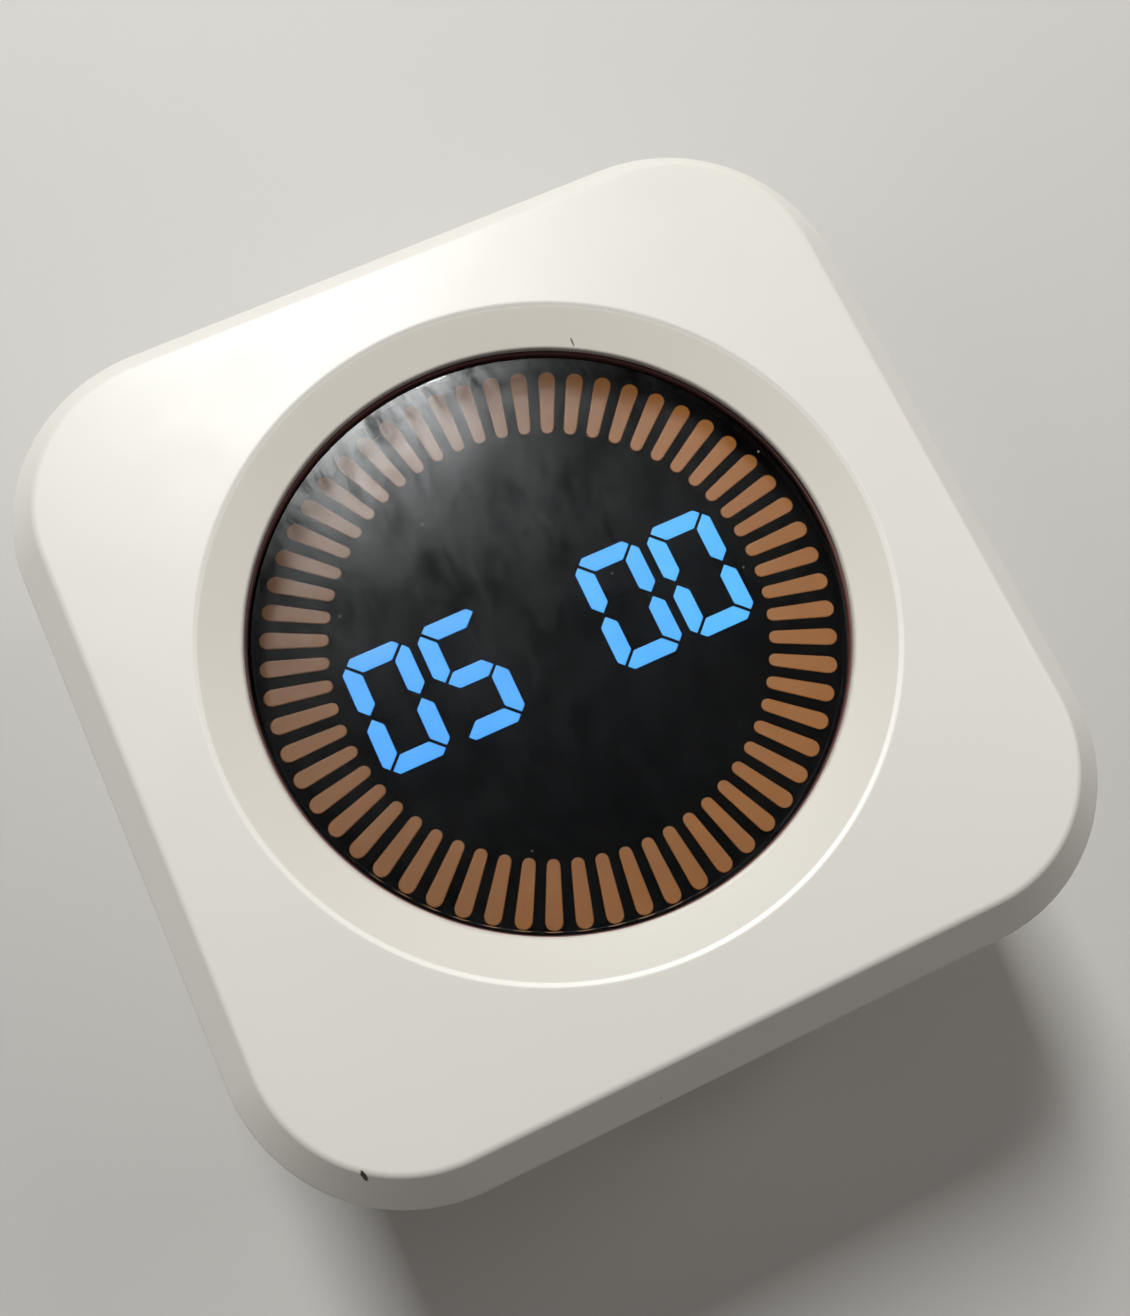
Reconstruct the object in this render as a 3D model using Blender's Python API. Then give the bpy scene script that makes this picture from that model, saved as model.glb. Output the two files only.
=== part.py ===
"""Countdown timer with a round light display, modelled as the separate pieces it is assembled from.

The scene is in metres; the dimensions below are in millimetres and are scaled when a mesh is made.
+Z points out of the display, +X to its right and +Y to its top. The origin is the middle of the plane
that the four rubber feet rest on, and heights are counted from there.
"""
import math

import bmesh
import bpy
from mathutils import Matrix, Vector
from mathutils.geometry import tessellate_polygon

MM = 0.001
GAP = 0.3                      # clearance between neighbouring pieces
EDGE = 0.3                     # small bevel on moulded edges
OVERLAP = 0.5                  # how far joined shapes run into each other
CUT_PAST = 1.0                 # how far a cutter runs past the wall it cuts

# Case
CASE_HALF = 38.75              # half the width of the rounded square
CASE_RADIUS = 15.7             # corner radius, seen from the front
CASE_HEIGHT = 42.0
REAR_FACE = 0.8                # the feet stand this proud
COVER_TOP = 3.1                # parting line between the cover and the housing
COVER_EDGE = 1.8               # rounding of the cover's outer edge
COVER_LIP_WALL = 1.4
COVER_LIP_TOP = 6.1
FACE_BEVEL_IN = 3.1
FACE_BEVEL_DOWN = 3.3
WALL = 2.0
FACE_THICKNESS = 2.4
CORNER_STEPS = 6
SIDE_STEPS = 4
RING_POINTS = 4 * (CORNER_STEPS + SIDE_STEPS)
RING_PHASE = 45 - CORNER_STEPS / 2 * 360 / RING_POINTS

# Dish, bezel and lens
DISH_RADIUS = 29.3
OPENING_RADIUS = 25.4
DISH_DROP = 1.0
LIP_THICKNESS = 0.35
BEZEL_BORE = 25.3
BEZEL_SEAT = 26.2
BEZEL_RADIUS = 28.0
BEZEL_SKIRT = 2.6              # how far the bezel reaches below the flange of the lens
LENS_RADIUS = 25.9
FLANGE_TOP = 38.6
LENS_THICKNESS = 1.5           # of its flange
WINDOW_RADIUS = 24.95          # raised middle of the lens, which fills the bore of the bezel
WINDOW_TOP = 40.2
ADHESIVE_BORE = 25.3
ADHESIVE_THICKNESS = 0.4
MASK_THICKNESS = 0.25

# Display layout
BAR_COUNT = 60
BAR_INNER = 18.92
BAR_OUTER = 24.86
BAR_HALF_ANGLE = 1.6           # degrees
BAR_END_STEPS = 2
DIGIT_HEIGHT = 10.93
DIGIT_WIDTH = 6.15
DIGIT_CENTRES = (-14.4, -7.46, 7.46, 14.4)
STROKE = 1.57
SEGMENT_GAP = 0.26
SEGMENT_CHAMFER = 1.14

# Light guides, shield and LED board
GUIDE_BASE = 33.4
GUIDE_BARS_FROM = 35.3
GUIDE_RING = (20.3, 24.6)      # inner and outer radius of the ring that carries the bars
SHIELD_RADIUS = 25.9
SHIELD_WALL = 0.7
SHIELD_CORE_RADIUS = 20.0
SHIELD_CORE_TOP = 35.0
RIB_WIDTH = 0.8
RIB_COUNT = 6
LED_BOARD_BOTTOM = 30.0
BOARD_THICKNESS = 1.6
LED_BOARD_RADIUS = 34.2
LED_RING_RADIUS = 22.0
LED_SIZE = (1.6, 0.8, 0.8)     # along the bar, across it, and high

# Bosses, screws and feet
SHANK_RADIUS = 0.95
BORE_RADIUS = 1.25
BORE_POINTS = 12
BOSS_RADIUS = 2.5
CORNER_BOSS = 28.5             # X and Y of each rear cover screw
CORNER_BOSS_RADIUS = 3.2
CORNER_BORE_TOP = 15.0
COVER_BOSS_RADIUS = 4.8
COVER_BOSS_TOP = 5.3
COUNTERBORE_RADIUS = 2.4
COUNTERBORE_TOP = 3.8
DISPLAY_BOSS = 22.27           # X and Y of each display screw
BOARD_BOSS = (27.0, 20.0)      # X and Y of each main board screw
COVER_SCREW = (2.1, 1.6, 9.5)  # head radius, head height and shank length
COVER_SCREW_HEAD = 1.9         # height of the head's outer face
BOARD_SCREW = (1.9, 1.3, 5.5)
FOOT_RADIUS = 4.2
FOOT_HEIGHT = 1.3

# Main board and what is on it
MAIN_BOARD_BOTTOM = 9.0
MAIN_BOARD_SIZE = (62.0, 48.0)
CHIPS = {                      # width, depth, height and centre
    "microcontroller": (10.0, 10.0, 1.4, (-15.0, 8.0)),
    "led_driver": (10.0, 6.0, 1.6, (-15.0, -6.0)),
    "charger_chip": (4.0, 5.0, 1.2, (-25.0, -12.0)),
    "gravity_sensor": (3.0, 3.0, 1.0, (-25.0, 12.0)),
}
BATTERY_BOTTOM = 13.2
BATTERY_SIZE = (34.0, 40.0, 7.0)
BATTERY_X = 13.0
BATTERY_SEAM = 0.6
PAD_SIZE = (24.0, 30.0)
CONNECTOR_SIZE = (5.0, 6.0, 3.2)
CONNECTOR_PLACE = (-13.0, -17.0)
LEAD_RADIUS = 0.6
LEAD_STEPS = 8
LEAD_PITCH = 2.4
BUZZER_PLACE = (18.0, -8.0)
BUZZER_RADIUS = 6.0
BUZZER_HEIGHT = 5.1
BUZZER_HOLE_RADIUS = 1.0
SOUND_HOLE_RADIUS = 0.7
SOUND_HOLE_PITCH = 2.6
RIBBON_X = -27.0
RIBBON_SOCKET = (3.0, 13.0, 2.6)
RIBBON_SIZE = (0.35, 10.0)
RIBBON_BOW = 2.6
RIBBON_STEPS = 10

# Controls and socket in the rear cover
CONTROL_FLOOR = 1.1            # lowest point of a button cap or knob
BUTTON_NAMES = ("minutes", "seconds", "start")
BUTTON_PITCH = 12.0
BUTTON_Y = 13.0
BUTTON_RADIUS = 3.0
FLANGE_WIDTH = 1.0
FLANGE_THICKNESS = 0.7
PLUNGER_RADIUS = 1.6
PLUNGER_LENGTH = 2.7
TACT_SIZE = (6.0, 6.0, 3.5)
TACT_BORE_DEPTH = 2.5
SWITCH_PLACE = (-14.0, -15.0)
SWITCH_TRAVEL = 4.0            # off, quiet and loud, 2 mm apart
SWITCH_SIZE = (9.0, 3.8, 3.4)
SWITCH_SLOT_DEPTH = 2.2
ACTUATOR_SIZE = (1.6, 1.5, 2.6)
KNOB_SIZE = (4.4, 2.8)
KNOB_FLANGE = (13.4, 5.4)      # covers the slot at both ends of the travel
SOCKET_PLACE = (4.0, -17.0)
SOCKET_SIZE = (8.94, 3.2)
SOCKET_BOTTOM = 1.2
SOCKET_DEPTH = 6.0
SOCKET_WALL = 0.3
TONGUE_SIZE = (6.7, 0.7, 5.1)


# Outlines: lists of (x, y) in millimetres, counter-clockwise

def circle(radius, points=RING_POINTS, phase=RING_PHASE, centre=(0, 0)):
    angles = [math.radians(phase + 360 * i / points) for i in range(points)]
    return [(centre[0] + radius * math.cos(a), centre[1] + radius * math.sin(a)) for a in angles]


def case_outline(inset):
    """Rounded square, inset from the case, with as many points as circle() has by default."""
    half = CASE_HALF - inset
    radius = CASE_RADIUS - inset
    reach = half - radius
    quarter = [Vector((reach, reach)) + radius * Vector((math.cos(a), math.sin(a)))
               for a in (math.pi / 2 * step / CORNER_STEPS for step in range(CORNER_STEPS + 1))]
    quarter += [Vector((reach - 2 * reach * step / SIDE_STEPS, half)) for step in range(1, SIDE_STEPS)]
    turns = [Matrix.Rotation(math.pi / 2 * corner, 2) for corner in range(4)]
    return [tuple(turn @ point) for turn in turns for point in quarter]


def rectangle(width, depth, centre=(0, 0)):
    x, y = centre
    return [(x - width / 2, y - depth / 2), (x + width / 2, y - depth / 2),
            (x + width / 2, y + depth / 2), (x - width / 2, y + depth / 2)]


def round_ended(half_length, half_width, steps):
    """Slot shape along X with half-round ends."""
    points = []
    for side in (1, -1):
        for step in range(steps + 1):
            angle = math.pi * (step / steps - 0.5)
            x = half_length - half_width + half_width * math.cos(angle)
            points.append((side * x, side * half_width * math.sin(angle)))
    return points


def rotated(outline, degrees):
    turn = Matrix.Rotation(math.radians(degrees), 2)
    return [tuple(turn @ Vector(point)) for point in outline]


def bar_outline(index):
    """One display bar: narrower towards the middle, with round ends."""
    points = []
    for end, side in ((BAR_OUTER, 1), (BAR_INNER, -1)):
        radius = end * math.sin(math.radians(BAR_HALF_ANGLE))
        for step in range(BAR_END_STEPS + 1):
            angle = math.pi * (step / BAR_END_STEPS - 0.5)
            x = end - side * radius * (1 - math.cos(angle))
            points.append((x, side * radius * math.sin(angle)))
    return rotated(points, 90 - index * 360 / BAR_COUNT)


def segment_outlines(centre_x):
    """The seven segments of one digit, with mitred joints and cut outer corners."""
    right, top = DIGIT_WIDTH / 2, DIGIT_HEIGHT / 2
    mitre = SEGMENT_GAP / math.sqrt(2)
    cut = SEGMENT_CHAMFER / 2
    top_bar = [(SEGMENT_CHAMFER - right, top),
               (cut - mitre / 2 - right + mitre, top - cut + mitre / 2),
               (STROKE + mitre - right, top - STROKE),
               (right - STROKE - mitre, top - STROKE),
               (right - cut - mitre / 2, top - cut + mitre / 2),
               (right - SEGMENT_CHAMFER, top)]
    upper_right = [(right, top - SEGMENT_CHAMFER),
                   (right - cut + mitre / 2, top - cut - mitre / 2),
                   (right - STROKE, top - STROKE - mitre),
                   (right - STROKE, STROKE / 2 + mitre),
                   (right - STROKE / 2, mitre),
                   (right, STROKE / 2 + mitre)]
    end = right - STROKE / 2 - mitre
    middle_bar = [(end, 0), (end - STROKE / 2, STROKE / 2), (STROKE / 2 - end, STROKE / 2),
                  (-end, 0), (STROKE / 2 - end, -STROKE / 2), (end - STROKE / 2, -STROKE / 2)]
    upper_left = [(-x, y) for x, y in reversed(upper_right)]
    upper = [top_bar, upper_right, upper_left]
    lower = [[(-x, -y) for x, y in shape] for shape in upper]
    return [[(centre_x + x, y) for x, y in shape] for shape in upper + [middle_bar] + lower]


# Shapes: points and faces, in millimetres

def layers(levels, closed=False):
    """Join outlines of equal length at their heights, in order.

    An open stack is capped at both ends. A closed one joins its last outline to its first.
    """
    count = len(levels[0][0])
    points = [(x, y, z) for outline, z in levels for x, y in outline]
    faces = []
    for level in range(len(levels) if closed else len(levels) - 1):
        low = level * count
        high = (level + 1) % len(levels) * count
        for i in range(count):
            j = (i + 1) % count
            faces.append((low + i, low + j, high + j, high + i))
    if not closed:
        faces.append(tuple(reversed(range(count))))
        faces.append(tuple(range(len(points) - count, len(points))))
    return points, faces


def slab(outlines, bottom, top):
    """A flat piece: the first outline is its edge, and the others are holes in it."""
    flat = [point for outline in outlines for point in outline]
    triangles = tessellate_polygon([[Vector((x, y, 0)) for x, y in outline] for outline in outlines])
    total = len(flat)
    points = [(x, y, bottom) for x, y in flat] + [(x, y, top) for x, y in flat]
    faces = [tuple(reversed(triangle)) for triangle in triangles]
    faces += [tuple(corner + total for corner in triangle) for triangle in triangles]
    start = 0
    for outline in outlines:
        for i in range(len(outline)):
            a, b = start + i, start + (i + 1) % len(outline)
            faces.append((a, b, b + total, a + total))
        start += len(outline)
    return points, faces


def turned(profile, points=16):
    """A turned solid from (radius, height) pairs."""
    return layers([(circle(radius, points, 0), height) for radius, height in profile])


def ring(outer, inner, bottom, top):
    return layers([(circle(outer), bottom), (circle(outer), top),
                   (circle(inner), top), (circle(inner), bottom)], closed=True)


def block(size, bottom, top, centre=(0, 0)):
    outline = rectangle(size[0], size[1], centre)
    return layers([(outline, bottom), (outline, top)])


def joined(shapes):
    """Several separate shapes as one."""
    points, faces = [], []
    for shape_points, shape_faces in shapes:
        faces += [tuple(index + len(points) for index in face) for face in shape_faces]
        points += shape_points
    return points, faces


def moved(shape, place):
    points, faces = shape
    return [(x + place[0], y + place[1], z) for x, y, z in points], faces


# Objects

def finish(name, colour, roughness, metallic=0.0):
    """A plain Principled material."""
    material = bpy.data.materials.new(name)
    material.use_nodes = True
    shader = material.node_tree.nodes["Principled BSDF"]
    shader.inputs["Base Color"].default_value = (*colour, 1.0)
    shader.inputs["Roughness"].default_value = roughness
    shader.inputs["Metallic"].default_value = metallic
    return material


def link(item):
    bpy.context.scene.collection.objects.link(item)
    return item


def piece(name, shape, material, place=(0, 0, 0), parent=None):
    """Make an object from a shape; place is its origin in millimetres."""
    points, faces = shape
    mesh = bpy.data.meshes.new(name)
    mesh.from_pydata([Vector(point) * MM for point in points], [], faces)
    solid = bmesh.new()
    solid.from_mesh(mesh)
    bmesh.ops.recalc_face_normals(solid, faces=solid.faces)
    solid.to_mesh(mesh)
    solid.free()
    mesh.shade_smooth()
    mesh.set_sharp_from_angle(angle=math.radians(30))
    mesh.materials.append(material)
    item = link(bpy.data.objects.new(name, mesh))
    item.location = Vector(place) * MM
    item.parent = parent
    return item


def motion_axis(name, place):
    """The empty that a moving group hangs from, on its line of travel."""
    axis = link(bpy.data.objects.new(name, None))
    axis.location = Vector((*place, CONTROL_FLOOR)) * MM
    return axis


def combine(target, name, shape, operation):
    """Join a shape to a piece, or cut it from the piece, with a live Boolean."""
    helper = piece(name, shape, target.data.materials[0])
    helper.hide_render = True
    helper.display_type = "WIRE"
    modifier = target.modifiers.new(name, "BOOLEAN")
    modifier.operation = operation
    modifier.solver = "EXACT"
    modifier.object = helper


def four_corners(x, y):
    return [(x, y), (-x, y), (-x, -y), (x, -y)]


# Case

def make_front_housing(white):
    under_face = CASE_HEIGHT - FACE_THICKNESS
    lip_top = CASE_HEIGHT - DISH_DROP
    seat_top = lip_top - LIP_THICKNESS
    bottom = COVER_TOP + GAP
    seat_radius = BEZEL_RADIUS + GAP
    levels = [(case_outline(0), bottom),
              (case_outline(0), CASE_HEIGHT - FACE_BEVEL_DOWN),
              (case_outline(FACE_BEVEL_IN), CASE_HEIGHT),
              (circle(DISH_RADIUS), CASE_HEIGHT),
              (circle(OPENING_RADIUS), lip_top),
              (circle(OPENING_RADIUS), seat_top),
              (circle(seat_radius), seat_top),
              (circle(seat_radius), under_face),
              (case_outline(FACE_BEVEL_IN + WALL / 2), under_face),
              (case_outline(WALL), under_face - WALL),
              (case_outline(WALL), bottom)]
    housing = piece("front_housing", layers(levels, closed=True), white)
    into_face = under_face + OVERLAP
    display_boss_bottom = LED_BOARD_BOTTOM + BOARD_THICKNESS + GAP
    corner_boss_bottom = COVER_BOSS_TOP + GAP
    columns = [(place, CORNER_BOSS_RADIUS, corner_boss_bottom, CORNER_BORE_TOP)
               for place in four_corners(CORNER_BOSS, CORNER_BOSS)]
    columns += [(place, BOSS_RADIUS, display_boss_bottom, under_face - GAP)
                for place in four_corners(DISPLAY_BOSS, DISPLAY_BOSS)]
    bosses, bores = [], []
    for place, radius, boss_bottom, bore_top in columns:
        boss = turned([(radius, boss_bottom), (radius, into_face)])
        bore = turned([(BORE_RADIUS, boss_bottom - CUT_PAST), (BORE_RADIUS, bore_top)], BORE_POINTS)
        bosses.append(moved(boss, place))
        bores.append(moved(bore, place))
    combine(housing, "housing_bosses", joined(bosses), "UNION")
    combine(housing, "housing_bores", joined(bores), "DIFFERENCE")


def cover_screw_hole():
    """Seat for a foot, counterbore for a screw head and hole for its shank, from the outside in."""
    seat_radius = FOOT_RADIUS + GAP
    seat_top = FOOT_HEIGHT + GAP
    return turned([(seat_radius, REAR_FACE - CUT_PAST), (seat_radius, seat_top),
                   (COUNTERBORE_RADIUS, seat_top), (COUNTERBORE_RADIUS, COUNTERBORE_TOP),
                   (BORE_RADIUS, COUNTERBORE_TOP), (BORE_RADIUS, COVER_BOSS_TOP + CUT_PAST)])


def cover_openings():
    """Cutters for the buttons, the slide knob, the socket and the buzzer."""
    low, high = REAR_FACE - CUT_PAST, COVER_TOP + CUT_PAST
    button_hole = BUTTON_RADIUS + GAP
    cuts = [moved(turned([(button_hole, low), (button_hole, high)]), place) for place in button_places()]
    slot = (KNOB_SIZE[0] + SWITCH_TRAVEL + 2 * GAP, KNOB_SIZE[1] + 2 * GAP)
    cuts.append(block(slot, low, high, SWITCH_PLACE))
    port = round_ended(SOCKET_SIZE[0] / 2 + GAP, SOCKET_SIZE[1] / 2 + GAP, 4)
    cuts.append(moved(layers([(port, low), (port, high)]), SOCKET_PLACE))
    for place in [BUZZER_PLACE] + circle(SOUND_HOLE_PITCH, 6, 0, BUZZER_PLACE):
        cuts.append(moved(turned([(SOUND_HOLE_RADIUS, low), (SOUND_HOLE_RADIUS, high)], 8), place))
    return cuts


def make_rear_cover(white):
    lip_outer = WALL + GAP
    lip_inner = lip_outer + COVER_LIP_WALL
    soft = 0.3 * COVER_EDGE
    levels = [(case_outline(COVER_EDGE), REAR_FACE),
              (case_outline(soft), REAR_FACE + soft),
              (case_outline(0), REAR_FACE + COVER_EDGE),
              (case_outline(0), COVER_TOP),
              (case_outline(lip_outer), COVER_TOP),
              (case_outline(lip_outer), COVER_LIP_TOP),
              (case_outline(lip_inner), COVER_LIP_TOP),
              (case_outline(lip_inner), COVER_TOP)]
    cover = piece("rear_cover", layers(levels), white)
    in_plate = COVER_TOP - OVERLAP
    board_boss_top = MAIN_BOARD_BOTTOM - GAP
    bosses, cuts = [], cover_openings()
    for place in four_corners(CORNER_BOSS, CORNER_BOSS):
        boss = turned([(COVER_BOSS_RADIUS, in_plate), (COVER_BOSS_RADIUS, COVER_BOSS_TOP)])
        bosses.append(moved(boss, place))
        cuts.append(moved(cover_screw_hole(), place))
    for place in four_corners(*BOARD_BOSS):
        boss = turned([(BOSS_RADIUS, in_plate), (BOSS_RADIUS, board_boss_top)])
        bore = turned([(BORE_RADIUS, COVER_TOP), (BORE_RADIUS, board_boss_top + CUT_PAST)], BORE_POINTS)
        bosses.append(moved(boss, place))
        cuts.append(moved(bore, place))
    combine(cover, "cover_bosses", joined(bosses), "UNION")
    combine(cover, "cover_cuts", joined(cuts), "DIFFERENCE")


def make_feet(rubber):
    shape = turned([(FOOT_RADIUS - EDGE, 0), (FOOT_RADIUS, EDGE), (FOOT_RADIUS, FOOT_HEIGHT)], 20)
    for number, (x, y) in enumerate(four_corners(CORNER_BOSS, CORNER_BOSS), 1):
        piece(f"rubber_foot_{number}", shape, rubber, (x, y, 0))


def screw_shape(head_radius, head_height, length):
    """Pan head screw along +Z, with a cross recess; the top of its head is at the origin."""
    points = 12
    radii = [0.6 * head_radius, 0.2 * head_radius, 0.2 * head_radius] * 4
    angles = [2 * math.pi * i / points for i in range(points)]
    cross = [(radius * math.cos(a), radius * math.sin(a)) for radius, a in zip(radii, angles)]
    rim = circle(head_radius, points, 0)
    shank = circle(SHANK_RADIUS, points, 0)
    tip = head_height + length
    return layers([(cross, 0.6 * head_height), (cross, 0),
                   (circle(0.85 * head_radius, points, 0), 0), (rim, 0.4 * head_height),
                   (rim, head_height), (shank, head_height),
                   (shank, tip - SHANK_RADIUS / 2), (circle(SHANK_RADIUS / 2, points, 0), tip)])


def make_screws(steel):
    board_screw = screw_shape(*BOARD_SCREW)
    for number, (x, y) in enumerate(four_corners(CORNER_BOSS, CORNER_BOSS), 1):
        piece(f"cover_screw_{number}", screw_shape(*COVER_SCREW), steel, (x, y, COVER_SCREW_HEAD))
    display_head = LED_BOARD_BOTTOM - GAP - BOARD_SCREW[1]
    for number, (x, y) in enumerate(four_corners(DISPLAY_BOSS, DISPLAY_BOSS), 1):
        piece(f"display_screw_{number}", board_screw, steel, (x, y, display_head))
    board_head = MAIN_BOARD_BOTTOM + BOARD_THICKNESS + GAP + BOARD_SCREW[1]
    for number, (x, y) in enumerate(four_corners(*BOARD_BOSS), 1):
        screw = piece(f"board_screw_{number}", board_screw, steel, (x, y, board_head))
        screw.rotation_euler.x = math.pi


# Display

def make_lens(black, adhesive, smoked):
    adhesive_bottom = FLANGE_TOP + GAP
    adhesive_top = adhesive_bottom + ADHESIVE_THICKNESS
    seat = adhesive_top + GAP
    bezel_top = CASE_HEIGHT - DISH_DROP - LIP_THICKNESS - GAP
    bezel_bottom = FLANGE_TOP - BEZEL_SKIRT
    bezel = [(circle(BEZEL_RADIUS), bezel_bottom), (circle(BEZEL_RADIUS), bezel_top),
             (circle(BEZEL_BORE), bezel_top), (circle(BEZEL_BORE), seat),
             (circle(BEZEL_SEAT), seat), (circle(BEZEL_SEAT), bezel_bottom)]
    piece("lens_bezel", layers(bezel, closed=True), black)
    adhesive_ring = ring(LENS_RADIUS, ADHESIVE_BORE, adhesive_bottom, adhesive_top)
    piece("lens_adhesive_ring", adhesive_ring, adhesive)
    lens = [(circle(LENS_RADIUS), FLANGE_TOP - LENS_THICKNESS), (circle(LENS_RADIUS), FLANGE_TOP),
            (circle(WINDOW_RADIUS), FLANGE_TOP), (circle(WINDOW_RADIUS), WINDOW_TOP - EDGE),
            (circle(WINDOW_RADIUS - EDGE), WINDOW_TOP)]
    piece("display_lens", layers(lens), smoked)


def mask_top():
    return FLANGE_TOP - LENS_THICKNESS - GAP


def guide_top():
    return mask_top() - MASK_THICKNESS - GAP


def make_display_mask(black):
    windows = [bar_outline(index) for index in range(BAR_COUNT)]
    for centre in DIGIT_CENTRES:
        windows += segment_outlines(centre)
    mask = slab([circle(LENS_RADIUS)] + windows, mask_top() - MASK_THICKNESS, mask_top())
    piece("display_mask", mask, black)


def make_light_guides(amber, blue):
    """A ring with a square-ended bar under each bar window, and a plate of segments for each digit."""
    inner, outer = GUIDE_RING
    base = ring(outer, inner, GUIDE_BASE, GUIDE_BARS_FROM + OVERLAP / 2)
    guide = piece("bar_light_guide", base, amber)
    widening = math.sin(math.radians(BAR_HALF_ANGLE))
    bar = [(BAR_INNER, -BAR_INNER * widening), (BAR_OUTER, -BAR_OUTER * widening),
           (BAR_OUTER, BAR_OUTER * widening), (BAR_INNER, BAR_INNER * widening)]
    bars = [rotated(bar, index * 360 / BAR_COUNT) for index in range(BAR_COUNT)]
    bars = [layers([(outline, GUIDE_BARS_FROM), (outline, guide_top())]) for outline in bars]
    combine(guide, "guide_bars", joined(bars), "UNION")
    plate_size = (DIGIT_WIDTH + EDGE, DIGIT_HEIGHT + EDGE)
    for number, centre in enumerate(DIGIT_CENTRES, 1):
        plate = block(plate_size, GUIDE_BASE, GUIDE_BARS_FROM, (centre, 0))
        digit = piece(f"digit_light_guide_{number}", plate, blue)
        segments = [layers([(outline, GUIDE_BARS_FROM - OVERLAP), (outline, guide_top())])
                    for outline in segment_outlines(centre)]
        combine(digit, f"digit_{number}_segments", joined(segments), "UNION")


def make_light_shield(black):
    bottom = LED_BOARD_BOTTOM + BOARD_THICKNESS + GAP
    pair_middle = (DIGIT_CENTRES[2] + DIGIT_CENTRES[3]) / 2
    pair_width = DIGIT_CENTRES[3] - DIGIT_CENTRES[2] + DIGIT_WIDTH + EDGE + 2 * GAP
    pair_height = DIGIT_HEIGHT + EDGE + 2 * GAP
    windows = [block((pair_width, pair_height), bottom - CUT_PAST, SHIELD_CORE_TOP + CUT_PAST,
                     (side * pair_middle, 0)) for side in (-1, 1)]
    core = circle(SHIELD_CORE_RADIUS)
    shield = piece("light_shield", layers([(core, bottom), (core, SHIELD_CORE_TOP)]), black)
    wall = ring(SHIELD_RADIUS, SHIELD_RADIUS - SHIELD_WALL, bottom, guide_top())
    rib_from, rib_to = SHIELD_CORE_RADIUS - OVERLAP, SHIELD_RADIUS - SHIELD_WALL / 2
    rib = rectangle(rib_to - rib_from, RIB_WIDTH, ((rib_from + rib_to) / 2, 0))
    between_leds = 180 / BAR_COUNT
    ribs = [rotated(rib, between_leds + index * 360 / RIB_COUNT) for index in range(RIB_COUNT)]
    ribs = [layers([(outline, bottom + GAP), (outline, GUIDE_BASE - GAP)]) for outline in ribs]
    combine(shield, "shield_windows", joined(windows), "DIFFERENCE")
    combine(shield, "shield_wall", wall, "UNION")
    combine(shield, "shield_ribs", joined(ribs), "UNION")


def make_led_board(green):
    top = LED_BOARD_BOTTOM + BOARD_THICKNESS
    low, high = top - OVERLAP, top + LED_SIZE[2]
    places = four_corners(DISPLAY_BOSS, DISPLAY_BOSS)
    holes = [circle(BORE_RADIUS, BORE_POINTS, 0, place) for place in places]
    plate = slab([circle(LED_BOARD_RADIUS)] + holes, LED_BOARD_BOTTOM, top)
    led_board = piece("led_board", plate, green)
    led = rectangle(LED_SIZE[0], LED_SIZE[1], (LED_RING_RADIUS, 0))
    chips = [rotated(led, index * 360 / BAR_COUNT) for index in range(BAR_COUNT)]
    chips = [layers([(outline, low), (outline, high)]) for outline in chips]
    for centre in DIGIT_CENTRES:
        for outline in segment_outlines(centre):
            middle = sum((Vector(point) for point in outline), Vector((0, 0))) / len(outline)
            chips.append(block((LED_SIZE[1], LED_SIZE[1]), low, high, middle))
    combine(led_board, "led_chips", joined(chips), "UNION")


# Electronics in the back

def board_top():
    """Where pieces on the main board's upper side start."""
    return MAIN_BOARD_BOTTOM + BOARD_THICKNESS + GAP


def under_board():
    """Where pieces on the main board's lower side end."""
    return MAIN_BOARD_BOTTOM - GAP


def make_main_board(green, chip_black):
    holes = [circle(BORE_RADIUS, BORE_POINTS, 0, place) for place in four_corners(*BOARD_BOSS)]
    plate = slab([rectangle(*MAIN_BOARD_SIZE)] + holes, MAIN_BOARD_BOTTOM,
                 MAIN_BOARD_BOTTOM + BOARD_THICKNESS)
    piece("main_board", plate, green)
    for name, (width, depth, height, (x, y)) in CHIPS.items():
        body = layers([(rectangle(width, depth), 0), (rectangle(width, depth), height - EDGE),
                       (rectangle(width - EDGE, depth - EDGE), height)])
        piece(name, body, chip_black, (x, y, board_top()))


def make_battery(foil, foam, white):
    width, depth, height = BATTERY_SIZE
    full = rectangle(width, depth)
    narrow = rectangle(width - 2 * BATTERY_SEAM, depth - 2 * BATTERY_SEAM)
    body = layers([(narrow, 0), (full, BATTERY_SEAM), (full, height - BATTERY_SEAM), (narrow, height)])
    piece("battery", body, foil, (BATTERY_X, 0, BATTERY_BOTTOM))
    pad = block(PAD_SIZE, board_top(), BATTERY_BOTTOM - GAP, (BATTERY_X, 0))
    piece("battery_pad", pad, foam)
    connector = block(CONNECTOR_SIZE, board_top(), board_top() + CONNECTOR_SIZE[2], CONNECTOR_PLACE)
    piece("battery_connector", connector, white)


def make_battery_lead(name, y, material):
    """Quarter of an ellipse from the connector's top to the battery's end."""
    start_x, start_z = CONNECTOR_PLACE[0], board_top() + CONNECTOR_SIZE[2] + GAP
    reach = BATTERY_X - BATTERY_SIZE[0] / 2 - GAP - start_x
    rise = BATTERY_BOTTOM + BATTERY_SIZE[2] / 2 - start_z
    curve = bpy.data.curves.new(name, "CURVE")
    curve.dimensions = "3D"
    curve.bevel_depth = LEAD_RADIUS * MM
    curve.bevel_resolution = 1
    curve.use_fill_caps = True
    spline = curve.splines.new("POLY")
    spline.points.add(LEAD_STEPS)
    for step in range(LEAD_STEPS + 1):
        angle = math.pi / 2 * step / LEAD_STEPS
        x = start_x + reach * (1 - math.cos(angle))
        z = start_z + rise * math.sin(angle)
        spline.points[step].co = (x * MM, y * MM, z * MM, 1)
    curve.materials.append(material)
    link(bpy.data.objects.new(name, curve))


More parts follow.
